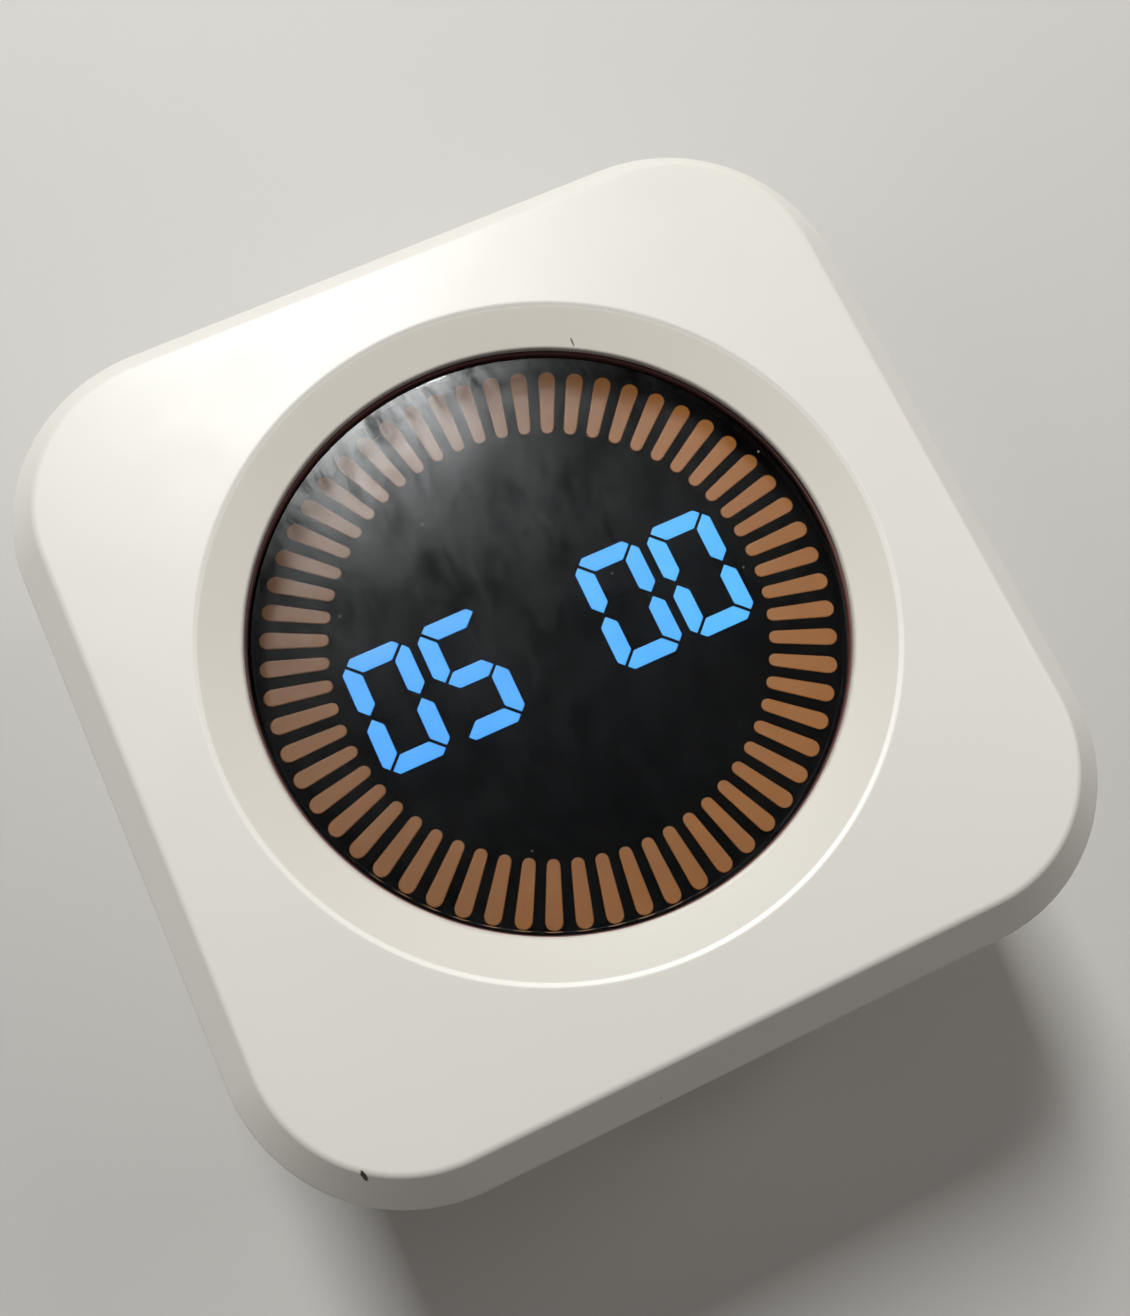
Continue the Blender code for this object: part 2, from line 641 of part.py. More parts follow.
def make_buzzer(chip_black):
    can = turned([(BUZZER_HOLE_RADIUS, 1.0), (BUZZER_HOLE_RADIUS, 0), (BUZZER_RADIUS - EDGE, 0),
                  (BUZZER_RADIUS, EDGE), (BUZZER_RADIUS, BUZZER_HEIGHT)], 24)
    piece("buzzer", can, chip_black, (*BUZZER_PLACE, under_board() - BUZZER_HEIGHT))


def make_ribbon(socket_black, ribbon):
    """Flat cable from the main board up to the LED board, with a socket at each end."""
    height = RIBBON_SOCKET[2]
    display_socket = LED_BOARD_BOTTOM - GAP - height
    piece("ribbon_socket_main", block(RIBBON_SOCKET, 0, height), socket_black, (RIBBON_X, 0, board_top()))
    piece("ribbon_socket_display", block(RIBBON_SOCKET, 0, height), socket_black,
          (RIBBON_X, 0, display_socket))
    bottom, top = board_top() + height + GAP, display_socket - GAP
    levels = []
    for step in range(RIBBON_STEPS + 1):
        part = step / RIBBON_STEPS
        bow = RIBBON_BOW * math.sin(math.pi * part) ** 2
        levels.append((rectangle(*RIBBON_SIZE, (RIBBON_X - bow, 0)), bottom + (top - bottom) * part))
    piece("ribbon_cable", layers(levels), ribbon)


# Controls: heights of moving pieces are counted from CONTROL_FLOOR

def button_places():
    first = -BUTTON_PITCH * (len(BUTTON_NAMES) - 1) / 2
    return [(first + BUTTON_PITCH * index, BUTTON_Y) for index in range(len(BUTTON_NAMES))]


def make_button(name, place, white, chip_black, steel):
    """A cap and its switch plunger, which move together along Z, and the switch they press."""
    axis = motion_axis(f"button_{name}_axis", place)
    flange_from = COVER_TOP + GAP - CONTROL_FLOOR
    flange_to = flange_from + FLANGE_THICKNESS
    flange_radius = BUTTON_RADIUS + FLANGE_WIDTH
    cap = turned([(BUTTON_RADIUS - EDGE, 0), (BUTTON_RADIUS, EDGE), (BUTTON_RADIUS, flange_from),
                  (flange_radius, flange_from), (flange_radius, flange_to)], 20)
    piece(f"button_{name}", cap, white, parent=axis)
    plunger_from = flange_to + GAP
    plunger = turned([(PLUNGER_RADIUS, plunger_from), (PLUNGER_RADIUS, plunger_from + PLUNGER_LENGTH)],
                     BORE_POINTS)
    piece(f"tact_plunger_{name}", plunger, chip_black, parent=axis)
    bottom = under_board() - TACT_SIZE[2]
    switch = piece(f"tact_switch_{name}", block(TACT_SIZE, bottom, under_board(), place), steel)
    bore_radius = PLUNGER_RADIUS + GAP
    bore = turned([(bore_radius, bottom - CUT_PAST), (bore_radius, bottom + TACT_BORE_DEPTH)], BORE_POINTS)
    combine(switch, f"tact_bore_{name}", moved(bore, place), "DIFFERENCE")


def make_slide_switch(white, chip_black, steel):
    """The knob and the actuator behind it, which move together along X, and the switch body."""
    axis = motion_axis("slide_knob_axis", SWITCH_PLACE)
    flange_from = COVER_TOP + GAP - CONTROL_FLOOR
    flange_to = flange_from + FLANGE_THICKNESS
    grip, flange = rectangle(*KNOB_SIZE), rectangle(*KNOB_FLANGE)
    grip_end = rectangle(KNOB_SIZE[0] - 2 * EDGE, KNOB_SIZE[1] - 2 * EDGE)
    knob = layers([(grip_end, 0), (grip, EDGE), (grip, flange_from),
                   (flange, flange_from), (flange, flange_to)])
    piece("slide_knob", knob, white, parent=axis)
    actuator_from = flange_to + GAP
    actuator = block(ACTUATOR_SIZE, actuator_from, actuator_from + ACTUATOR_SIZE[2])
    piece("switch_actuator", actuator, chip_black, parent=axis)
    bottom = under_board() - SWITCH_SIZE[2]
    switch = piece("slide_switch", block(SWITCH_SIZE, bottom, under_board(), SWITCH_PLACE), steel)
    slot = (ACTUATOR_SIZE[0] + SWITCH_TRAVEL + 2 * GAP, ACTUATOR_SIZE[1] + 2 * GAP)
    slot = block(slot, bottom - CUT_PAST, bottom + SWITCH_SLOT_DEPTH, SWITCH_PLACE)
    combine(switch, "switch_slot", slot, "DIFFERENCE")


def make_usb_socket(steel):
    """Metal shell open towards the back, with a tongue inside."""
    half_length, half_width = SOCKET_SIZE[0] / 2, SOCKET_SIZE[1] / 2
    floor = SOCKET_BOTTOM + SOCKET_DEPTH
    outer = round_ended(half_length, half_width, 4)
    inner = round_ended(half_length - SOCKET_WALL, half_width - SOCKET_WALL, 4)
    shell = layers([(inner, floor), (inner, SOCKET_BOTTOM), (outer, SOCKET_BOTTOM), (outer, under_board())])
    socket = piece("usb_socket", moved(shell, SOCKET_PLACE), steel)
    tongue = block(TONGUE_SIZE, floor - TONGUE_SIZE[2], floor + OVERLAP, SOCKET_PLACE)
    combine(socket, "socket_tongue", tongue, "UNION")


def clear_scene():
    for item in list(bpy.data.objects):
        bpy.data.objects.remove(item)


def main():
    clear_scene()
    white = finish("white_plastic", (0.80, 0.79, 0.76), 0.38)
    black = finish("black_plastic", (0.012, 0.011, 0.011), 0.5)
    smoked = finish("smoked_lens", (0.01, 0.012, 0.013), 0.06)
    amber = finish("amber_plastic", (0.27, 0.12, 0.05), 0.45)
    blue = finish("blue_lit_plastic", (0.08, 0.38, 1.0), 0.4)
    adhesive = finish("black_adhesive", (0.02, 0.02, 0.02), 0.8)
    rubber = finish("dark_rubber", (0.03, 0.03, 0.03), 0.8)
    steel = finish("plated_steel", (0.55, 0.55, 0.54), 0.35, 1.0)
    green = finish("green_board", (0.02, 0.12, 0.05), 0.5)
    chip_black = finish("chip_black", (0.02, 0.02, 0.022), 0.55)
    foil = finish("battery_foil", (0.45, 0.46, 0.48), 0.4, 0.8)
    foam = finish("foam", (0.05, 0.05, 0.055), 0.9)
    red = finish("red_wire", (0.5, 0.02, 0.02), 0.5)
    ribbon = finish("ribbon", (0.65, 0.66, 0.68), 0.5)
    make_front_housing(white)
    make_rear_cover(white)
    make_feet(rubber)
    make_screws(steel)
    make_lens(black, adhesive, smoked)
    make_display_mask(black)
    make_light_guides(amber, blue)
    make_light_shield(black)
    make_led_board(green)
    make_main_board(green, chip_black)
    make_battery(foil, foam, white)
    make_battery_lead("battery_lead_red", CONNECTOR_PLACE[1] + LEAD_PITCH / 2, red)
    make_battery_lead("battery_lead_black", CONNECTOR_PLACE[1] - LEAD_PITCH / 2, chip_black)
    make_buzzer(chip_black)
    make_ribbon(chip_black, ribbon)
    for name, place in zip(BUTTON_NAMES, button_places()):
        make_button(name, place, white, chip_black, steel)
    make_slide_switch(white, chip_black, steel)
    make_usb_socket(steel)


main()
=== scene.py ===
"""Looks of the countdown timer: fine meshes, procedural materials, stage, light and camera.

Lengths are in millimetres, in the frame of the CAD model, and are scaled when a mesh is made. Places come
from the CAD nodes' boxes; the constants below are only the details that those boxes don't hold.
"""

import math

import bmesh
import bpy
from mathutils import Matrix, Vector
from mathutils.geometry import tessellate_polygon


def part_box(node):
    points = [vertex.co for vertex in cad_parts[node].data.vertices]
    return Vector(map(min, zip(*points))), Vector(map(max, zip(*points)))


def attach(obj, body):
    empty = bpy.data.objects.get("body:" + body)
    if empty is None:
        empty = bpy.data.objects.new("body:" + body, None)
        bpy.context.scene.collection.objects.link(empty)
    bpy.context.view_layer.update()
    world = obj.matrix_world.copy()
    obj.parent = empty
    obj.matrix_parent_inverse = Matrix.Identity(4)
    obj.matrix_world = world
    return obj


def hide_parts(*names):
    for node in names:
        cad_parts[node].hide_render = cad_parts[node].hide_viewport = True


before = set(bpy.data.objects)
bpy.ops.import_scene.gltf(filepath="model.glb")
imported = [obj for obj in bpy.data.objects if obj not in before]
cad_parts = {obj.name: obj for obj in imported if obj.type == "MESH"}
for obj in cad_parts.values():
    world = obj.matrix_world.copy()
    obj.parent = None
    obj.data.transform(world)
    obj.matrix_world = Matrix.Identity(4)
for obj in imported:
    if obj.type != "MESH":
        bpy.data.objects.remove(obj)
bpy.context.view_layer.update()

MM = 0.001
CORNER_STEPS = 28
SIDE_STEPS = 20
RING_POINTS = 4 * (CORNER_STEPS + SIDE_STEPS)
RING_PHASE = 45 - CORNER_STEPS / 2 * 360 / RING_POINTS
SHARP_FROM = 38                # degrees between two faces that share a sharp edge
CUT_PAST = 1.0                 # how far a cutter runs past the wall it cuts
CHAMFER = 0.2                  # broken edge around a moulded hole

# Case
CASE_RADIUS = 15.7             # corner radius, seen from the front
BEVEL_IN = 3.1
BEVEL_DOWN = 3.3
RIM_ROUNDING = 0.9
CREASE_ROUNDING = 0.9
PARTING_ROUNDING = 0.25
WALL = 2.0
FACE_THICKNESS = 2.4
DISH_RADIUS = 29.3
OPENING_RADIUS = 25.4
DISH_DROP = 1.0
DISH_ROUNDING = 0.55
DISH_STEP = (0.32, 0.16)       # steeper edge of the dish: how wide and how deep
LIP_ROUNDING = 0.3
LIP_THICKNESS = 0.35
COVER_EDGE = 1.8
COVER_LIP_WALL = 1.4
COVER_LIP_HEIGHT = 3.0
FIT = 0.3                      # clearance around a piece

# Bosses and screws
BOSS_RADIUS = 2.5
CORNER_BOSS_RADIUS = 3.2
COVER_BOSS_RADIUS = 4.8
BORE_RADIUS = 1.25
COUNTERBORE_RADIUS = 2.4
CORNER_BORE_TOP = 15.0
COVER_BOSS_TOP = 5.3
FOOT_SEAT_TOP = 1.6
COUNTERBORE_TOP = 3.8
BOARD_THICKNESS = 1.6

# Controls
BUTTONS = ("minutes", "seconds", "start")
BUTTON_RADIUS = 3.0
SLOT_SIZE = (9.0, 3.4)
SOUND_HOLE_RADIUS = 0.7
SOUND_HOLE_PITCH = 2.6

# Display
BEZEL_BORE = 25.3
FLANGE_TOP = 38.6              # of the lens, whose middle is higher
WINDOW_RADIUS = 24.95
LENS_FLAT_RADIUS = 23.2
LENS_CROWN = 0.012             # how far the lens falls off outside that radius
LENS_CROWN_ROUNDING = 60.0
GLARE_SLANT = 0.35             # of the line along which grease on the lens gets thicker and the bars' painted glow gets fainter
BAR_COUNT = 60
BAR_INNER = 18.92
BAR_OUTER = 24.86
BAR_HALF_ANGLE = 1.74          # degrees
BAR_RING = (20.3, 24.6)        # inner and outer radius of the ring that the bars stand on
BAR_RING_TOP = 35.4
STROKE = 1.57
SEGMENT_GAP = 0.26
SEGMENT_CHAMFER = 1.14
GUIDE_CLEARANCE = 0.005
PLATE_THICKNESS = 1.9          # of a digit's plate, under its segments
DIGIT_HEIGHT = 10.93
DIGIT_NODES = [f"digit_light_guide_{number}" for number in range(1, 5)]
SHOWN = "0500"
# Top, upper right, upper left, middle, bottom, lower left and lower right segment
LIT_SEGMENTS = {"0": (1, 1, 1, 0, 1, 1, 1), "5": (1, 0, 1, 1, 1, 0, 1)}


def low_high(node):
    """Lowest and highest corner of a CAD node, in millimetres."""
    low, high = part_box(node)
    return low / MM, high / MM


def middle(node):
    low, high = low_high(node)
    return (low + high) / 2


def half_size(node):
    low, high = low_high(node)
    return (high - low) / 2


HOUSING_LOW, HOUSING_HIGH = low_high("front_housing")
COVER_LOW = low_high("rear_cover")[0]
LENS_LOW, LENS_HIGH = low_high("display_lens")
BEZEL_LOW, BEZEL_HIGH = low_high("lens_bezel")
MASK_LOW, MASK_HIGH = low_high("display_mask")
DIGIT_LOW, DIGIT_HIGH = low_high(DIGIT_NODES[0])
CASE_HALF = HOUSING_HIGH.x
PARTING = HOUSING_LOW.z - FIT
DIGIT_WIDTH = DIGIT_HIGH.x - DIGIT_LOW.x - FIT


# Outlines: lists of (x, y)

def circle(radius, points=RING_POINTS, phase=RING_PHASE):
    angles = [math.radians(phase + 360 * i / points) for i in range(points)]
    return [(radius * math.cos(a), radius * math.sin(a)) for a in angles]


def case_outline(inset):
    """Rounded square, inset from the case, with as many points as circle() has by default."""
    half = CASE_HALF - inset
    radius = CASE_RADIUS - inset
    reach = half - radius
    quarter = [Vector((reach, reach)) + radius * Vector((math.cos(a), math.sin(a)))
               for a in (math.pi / 2 * step / CORNER_STEPS for step in range(CORNER_STEPS + 1))]
    quarter += [Vector((reach - 2 * reach * step / SIDE_STEPS, half)) for step in range(1, SIDE_STEPS)]
    turns = [Matrix.Rotation(math.pi / 2 * corner, 2) for corner in range(4)]
    return [tuple(turn @ point) for turn in turns for point in quarter]


def round_ended(half_length, half_width, steps):
    """Slot shape along X with half-round ends."""
    points = []
    for side in (1, -1):
        for step in range(steps + 1):
            angle = math.pi * (step / steps - 0.5)
            x = half_length - half_width + half_width * math.cos(angle)
            points.append((side * x, side * half_width * math.sin(angle)))
    return points


def round_cornered(width, depth, radius, steps=4):
    """Rectangle with round corners."""
    points = []
    for corner, (side_x, side_y) in enumerate(((1, 1), (-1, 1), (-1, -1), (1, -1))):
        for step in range(steps + 1):
            angle = math.pi / 2 * (corner + step / steps)
            points.append((side_x * (width / 2 - radius) + radius * math.cos(angle),
                           side_y * (depth / 2 - radius) + radius * math.sin(angle)))
    return points


def rotated(outline, degrees):
    turn = Matrix.Rotation(math.radians(degrees), 2)
    return [tuple(turn @ Vector(point)) for point in outline]


def shrunk(outline, distance):
    """Convex outline with each edge moved inwards."""
    points = [Vector(point) for point in outline]
    count = len(points)
    result = []
    for i, point in enumerate(points):
        before = (point - points[i - 1]).normalized()
        after = (points[(i + 1) % count] - point).normalized()
        normal = (before + after).normalized().orthogonal()
        cosine = max(normal.dot(before.orthogonal()), 0.3)
        result.append(tuple(point + normal * distance / cosine))
    return result


def bar_outline(index):
    """One display bar: narrower towards the middle, with round ends."""
    end_steps = 8
    points = []
    for end, side in ((BAR_OUTER, 1), (BAR_INNER, -1)):
        radius = end * math.sin(math.radians(BAR_HALF_ANGLE))
        for step in range(end_steps + 1):
            angle = math.pi * (step / end_steps - 0.5)
            x = end - side * radius * (1 - math.cos(angle))
            points.append((x, side * radius * math.sin(angle)))
    return rotated(points, 90 - index * 360 / BAR_COUNT)


def segment_outlines(node):
    """The seven segments of one digit, with mitred joints and cut outer corners."""
    low, high = low_high(node)
    centre_x = (low.x + high.x) / 2
    right, top = DIGIT_WIDTH / 2, DIGIT_HEIGHT / 2
    mitre = SEGMENT_GAP / math.sqrt(2)
    cut = SEGMENT_CHAMFER / 2
    top_bar = [(SEGMENT_CHAMFER - right, top),
               (cut - mitre / 2 - right + mitre, top - cut + mitre / 2),
               (STROKE + mitre - right, top - STROKE),
               (right - STROKE - mitre, top - STROKE),
               (right - cut - mitre / 2, top - cut + mitre / 2),
               (right - SEGMENT_CHAMFER, top)]
    upper_right = [(right, top - SEGMENT_CHAMFER),
                   (right - cut + mitre / 2, top - cut - mitre / 2),
                   (right - STROKE, top - STROKE - mitre),
                   (right - STROKE, STROKE / 2 + mitre),
                   (right - STROKE / 2, mitre),
                   (right, STROKE / 2 + mitre)]
    end = right - STROKE / 2 - mitre
    middle_bar = [(end, 0), (end - STROKE / 2, STROKE / 2), (STROKE / 2 - end, STROKE / 2),
                  (-end, 0), (STROKE / 2 - end, -STROKE / 2), (end - STROKE / 2, -STROKE / 2)]
    upper_left = [(-x, y) for x, y in reversed(upper_right)]
    upper = [top_bar, upper_right, upper_left]
    lower = [[(-x, -y) for x, y in shape] for shape in upper]
    return [[(centre_x + x, y) for x, y in shape] for shape in upper + [middle_bar] + lower]


# Shapes: points and faces

def filleted(corners, steps=6):
    """Path through (across, height, rounding) corners, with an arc at each one that has a rounding."""
    path = [Vector(corners[0][:2])]
    for before, corner, after in zip(corners, corners[1:], corners[2:]):
        point, rounding = Vector(corner[:2]), corner[2]
        if not rounding:
            path.append(point)
            continue
        to_before = (Vector(before[:2]) - point).normalized()
        to_after = (Vector(after[:2]) - point).normalized()
        half_angle = to_before.angle(to_after) / 2
        centre = point + (to_before + to_after).normalized() * rounding / math.sin(half_angle)
        reach = rounding / math.tan(half_angle)
        start = point + to_before * reach - centre
        turn = start.angle_signed(point + to_after * reach - centre)
        for step in range(steps + 1):
            path.append(centre + Matrix.Rotation(-turn * step / steps, 2) @ start)
    path.append(Vector(corners[-1][:2]))
    return [tuple(point) for point in path]


def layers(levels, closed=False):
    """Join outlines of equal length at their heights, in order.

    An open stack is capped at both ends. A closed one joins its last outline to its first.
    """
    count = len(levels[0][0])
    points = [(x, y, z) for outline, z in levels for x, y in outline]
    faces = []
    for level in range(len(levels) if closed else len(levels) - 1):
        low = level * count
        high = (level + 1) % len(levels) * count
        for i in range(count):
            j = (i + 1) % count
            faces.append((low + i, low + j, high + j, high + i))
    if not closed:
        faces.append(tuple(reversed(range(count))))
        faces.append(tuple(range(len(points) - count, len(points))))
    return points, faces


def slab(outlines, bottom, top):
    """A flat piece: the first outline is its edge, and the others are holes in it."""
    flat = [point for outline in outlines for point in outline]
    triangles = tessellate_polygon([[Vector((x, y, 0)) for x, y in outline] for outline in outlines])
    total = len(flat)
    points = [(x, y, bottom) for x, y in flat] + [(x, y, top) for x, y in flat]
    faces = [tuple(reversed(triangle)) for triangle in triangles]
    faces += [tuple(corner + total for corner in triangle) for triangle in triangles]
    start = 0
    for outline in outlines:
        for i in range(len(outline)):
            a, b = start + i, start + (i + 1) % len(outline)
            faces.append((a, b, b + total, a + total))
        start += len(outline)
    return points, faces


def turned(profile, points=48):
    """A turned solid from (radius, height) pairs."""
    return layers([(circle(radius, points, 0), height) for radius, height in profile])


def tube(profile):
    """A ring from the closed path of its section, as (radius, height) pairs."""
    return layers([(circle(radius), height) for radius, height in profile], closed=True)


def joined(shapes):
    """Several separate shapes as one."""
    points, faces = [], []
    for shape_points, shape_faces in shapes:
        faces += [tuple(index + len(points) for index in face) for face in shape_faces]
        points += shape_points
    return points, faces


def moved(shape, place):
    points, faces = shape
    return [(x + place[0], y + place[1], z) for x, y, z in points], faces


def four_corners(x, y):
    return [(x, y), (-x, y), (-x, -y), (x, -y)]


# Pieces

def mesh_of(name, shape):
    points, faces = shape
    mesh = bpy.data.meshes.new(name)
    mesh.from_pydata([Vector(point) * MM for point in points], [], faces)
    solid = bmesh.new()
    solid.from_mesh(mesh)
    bmesh.ops.recalc_face_normals(solid, faces=solid.faces)
    solid.to_mesh(mesh)
    solid.free()
    return mesh


def combine(mesh, shape, operation):
    """The mesh with a shape joined to it or cut from it."""
    item = bpy.data.objects.new("combined", mesh)
    helper = bpy.data.objects.new("helper", mesh_of("helper", shape))
    for each in (item, helper):
        bpy.context.scene.collection.objects.link(each)
    modifier = item.modifiers.new("combine", "BOOLEAN")
    modifier.operation = operation
    modifier.solver = "EXACT"
    modifier.object = helper
    depsgraph = bpy.context.evaluated_depsgraph_get()
    result = bpy.data.meshes.new_from_object(item.evaluated_get(depsgraph))
    for each in (item, helper):
        bpy.data.objects.remove(each)
    return result


def piece(name, mesh, materials, nodes, body="case"):
    """A visible piece that stands for CAD nodes and rides on their body."""
    if isinstance(mesh, tuple):
        mesh = mesh_of(name, mesh)
    mesh.materials.clear()
    for material in materials:
        mesh.materials.append(material)
    mesh.shade_smooth()
    mesh.set_sharp_from_angle(angle=math.radians(SHARP_FROM))
    item = bpy.data.objects.new(name, mesh)
    bpy.context.scene.collection.objects.link(item)
    weighted = item.modifiers.new("weighted_normals", "WEIGHTED_NORMAL")
    weighted.keep_sharp = True
    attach(item, body)
    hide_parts(*nodes)
    return item


def paint(item, shapes, slots):
    """Give the faces of each shape that the piece was joined from the material in its slot."""
    first = 0
    for (_, faces), slot in zip(shapes, slots):
        for face in range(first, first + len(faces)):
            item.data.polygons[face].material_index = slot
        first += len(faces)


# Material helpers

def new_material(name):
    """A material with one Principled shader, and the tree that it is in."""
    material = bpy.data.materials.new(name)
    material.use_nodes = True
    return material, material.node_tree, material.node_tree.nodes["Principled BSDF"]


def add(tree, kind, **settings):
    node = tree.nodes.new("ShaderNode" + kind)
    for key, value in settings.items():
        setattr(node, key, value)
    return node


def wire(tree, source, target):
    tree.links.new(source, target)


def position(tree):
    """Place on the piece, in millimetres."""
    scale = add(tree, "VectorMath", operation="SCALE")
    scale.inputs["Scale"].default_value = 1 / MM
    wire(tree, add(tree, "TexCoord").outputs["Object"], scale.inputs[0])
    return scale.outputs["Vector"]


def maths(tree, operation, a, b=0.0, clamp=False):
    node = add(tree, "Math", operation=operation, use_clamp=clamp)
    for socket, value in zip(node.inputs, (a, b)):
        if isinstance(value, (int, float)):
            socket.default_value = value
        else:
            wire(tree, value, socket)
    return node.outputs[0]


def product(tree, *factors):
    result = factors[0]
    for factor in factors[1:]:
        result = maths(tree, "MULTIPLY", result, factor)
    return result


def noise(tree, size, detail=3.0, roughness=0.55, stretch=(1, 1, 1), offset=(0, 0, 0), distortion=0.0):
    """Noise from 0 to 1 whose lumps are about size millimetres across."""
    mapping = add(tree, "Mapping")
    mapping.inputs["Location"].default_value = offset
    mapping.inputs["Scale"].default_value = stretch
    wire(tree, position(tree), mapping.inputs["Vector"])
    node = add(tree, "TexNoise")
    node.inputs["Scale"].default_value = 1 / size
    node.inputs["Detail"].default_value = detail
    node.inputs["Roughness"].default_value = roughness
    node.inputs["Distortion"].default_value = distortion
    wire(tree, mapping.outputs[0], node.inputs["Vector"])
    return node.outputs["Fac"]


def ranged(tree, value, low, high, to_low, to_high, smooth=False):
    node = add(tree, "MapRange", interpolation_type="SMOOTHSTEP" if smooth else "LINEAR")
    wire(tree, value, node.inputs["Value"])
    for name, number in (("From Min", low), ("From Max", high), ("To Min", to_low), ("To Max", to_high)):
        node.inputs[name].default_value = number
    return node.outputs["Result"]


def spread(tree, pattern, low, high):
    """The usual reach of a noise, stretched to run from low to high."""
    return ranged(tree, pattern, 0.3, 0.7, low, high)


def mixed(tree, factor, a, b, blend="MIX"):
    """Colour a where the factor is 0, and b where it is 1.

    A Mix node has its colours at inputs 6 and 7 and at output 2, after those for numbers and vectors.
    """
    node = add(tree, "Mix", data_type="RGBA", blend_type=blend)
    wire(tree, factor, node.inputs["Factor"])
    for socket, value in ((node.inputs[6], a), (node.inputs[7], b)):
        if isinstance(value, tuple):
            socket.default_value = (*value, 1.0)
        else:
            wire(tree, value, socket)
    return node.outputs[2]


def shaded(colour, share):
    return tuple(channel * share for channel in colour)


def separate(tree, vector):
    node = add(tree, "SeparateXYZ")
    wire(tree, vector, node.inputs[0])
    return node.outputs


def specks(tree, cell, size, share, seed):
    """Sparse round specks: one in some cells of a grid of random points. 1 on a speck and 0 elsewhere."""
    mapping = add(tree, "Mapping")
    mapping.inputs["Location"].default_value = (seed, 2.3 * seed, 0.7 * seed)
    wire(tree, position(tree), mapping.inputs["Vector"])
    cells = add(tree, "TexVoronoi", feature="F1")
    cells.inputs["Scale"].default_value = 1 / cell
    wire(tree, mapping.outputs[0], cells.inputs["Vector"])
    chosen = maths(tree, "LESS_THAN", separate(tree, cells.outputs["Color"])[0], share)
    near = ranged(tree, cells.outputs["Distance"], 0.5 * size / cell, size / cell, 1, 0, smooth=True)
    return product(tree, chosen, near)


def scratches(tree, angle, pitch, share, seed):
    """Short straight hairlines in one direction. 1 on a line and 0 elsewhere."""
    turn = add(tree, "VectorRotate", rotation_type="Z_AXIS")
    turn.inputs["Angle"].default_value = math.radians(angle)
    wire(tree, position(tree), turn.inputs["Vector"])
    mapping = add(tree, "Mapping")
    mapping.inputs["Location"].default_value = (seed, 1.7 * seed, 0)
    mapping.inputs["Scale"].default_value = (0.09, 1, 0)
    wire(tree, turn.outputs[0], mapping.inputs["Vector"])
    cells = add(tree, "TexVoronoi", feature="F1")
    cells.inputs["Scale"].default_value = 1 / pitch
    wire(tree, mapping.outputs[0], cells.inputs["Vector"])
    chosen = maths(tree, "LESS_THAN", separate(tree, cells.outputs["Color"])[1], share)
    near = ranged(tree, cells.outputs["Distance"], 0.012, 0.03, 1, 0, smooth=True)
    return product(tree, chosen, near)


def near_place(tree, place, size):
    """1 within size millimetres of a place, seen from the front, with an irregular edge."""
    away = add(tree, "VectorMath", operation="SUBTRACT")
    wire(tree, position(tree), away.inputs[0])
    away.inputs[1].default_value = place
    squash = add(tree, "VectorMath", operation="DIVIDE")
    wire(tree, away.outputs[0], squash.inputs[0])
    squash.inputs[1].default_value = size
    length = add(tree, "VectorMath", operation="LENGTH")
    wire(tree, squash.outputs[0], length.inputs[0])
    ragged = maths(tree, "ADD", length.outputs["Value"], ranged(tree, noise(tree, 0.3), 0, 1, -0.35, 0.35))
    return ranged(tree, ragged, 0.8, 1.15, 1, 0, smooth=True)


def bumped(tree, shader, height, depth, over=None):
    """Bump of that depth in millimetres; over is a bump that it adds to."""
    bump = add(tree, "Bump")
    bump.inputs["Strength"].default_value = 1.0
    bump.inputs["Distance"].default_value = depth * MM
    wire(tree, height, bump.inputs["Height"])
    if over:
        wire(tree, over, bump.inputs["Normal"])
    wire(tree, bump.outputs[0], shader.inputs["Normal"])
    return bump.outputs[0]


def moulded(name, colour, roughness, grain=0.35, depth=0.004, patch=9.0, specular=0.5):
    """Moulded plastic or rubber: soft patches of tone, uneven gloss and a fine moulded grain."""
    material, tree, shader = new_material(name)
    tone = mixed(tree, noise(tree, patch, detail=2.0), shaded(colour, 0.95), shaded(colour, 1.05))
    wire(tree, tone, shader.inputs["Base Color"])
    gloss = noise(tree, patch / 3, detail=4.0, offset=(5, 3, 1))
    wire(tree, spread(tree, gloss, roughness - 0.05, roughness + 0.05), shader.inputs["Roughness"])
    shader.inputs["Specular IOR Level"].default_value = specular
    bumped(tree, shader, noise(tree, grain, detail=2.0), depth)
    return material


# Materials

def dish_grime_and_painted_light(tree, colour, patchy):
    """Grime along the opening, painted shade that darkens the dish, most at its top, and painted light on
    the dish's steep edge.
    """
    x, y, z = separate(tree, position(tree))
    radius = maths(tree, "SQRT", maths(tree, "ADD", product(tree, x, x), product(tree, y, y)))
    on_front = ranged(tree, z, HOUSING_HIGH.z - 1.5, HOUSING_HIGH.z - 1.2, 0, 1)
    at_lip = ranged(tree, radius, OPENING_RADIUS, OPENING_RADIUS + 0.35, 1, 0, smooth=True)
    colour = mixed(tree, product(tree, at_lip, patchy, on_front, 0.8), colour, (0.30, 0.25, 0.22))
    # Painted shade: the dish is darkened, most at its top, which faces away from the key lamp
    painted_dish_shade = ranged(tree, radius, DISH_RADIUS - DISH_STEP[0], DISH_RADIUS, 1, 0, smooth=True)
    shade_towards_top = ranged(tree, y, -DISH_RADIUS, DISH_RADIUS, 0.55, 1.0)
    painted_dish_shade = product(tree, painted_dish_shade, shade_towards_top, on_front)
    colour = mixed(tree, painted_dish_shade, colour, (0.84, 0.815, 0.785), "MULTIPLY")
    # Painted light: the dish's steep edge is lightened, which hides its shade at the top and widens its
    # highlight at the bottom
    from_edge = maths(tree, "ABSOLUTE", maths(tree, "SUBTRACT", radius, DISH_RADIUS - DISH_STEP[0] / 2))
    painted_light_edge = ranged(tree, from_edge, 0.12, 0.28, 1, 0, smooth=True)
    return mixed(tree, product(tree, painted_light_edge, on_front), colour, (0.865, 0.825, 0.76))


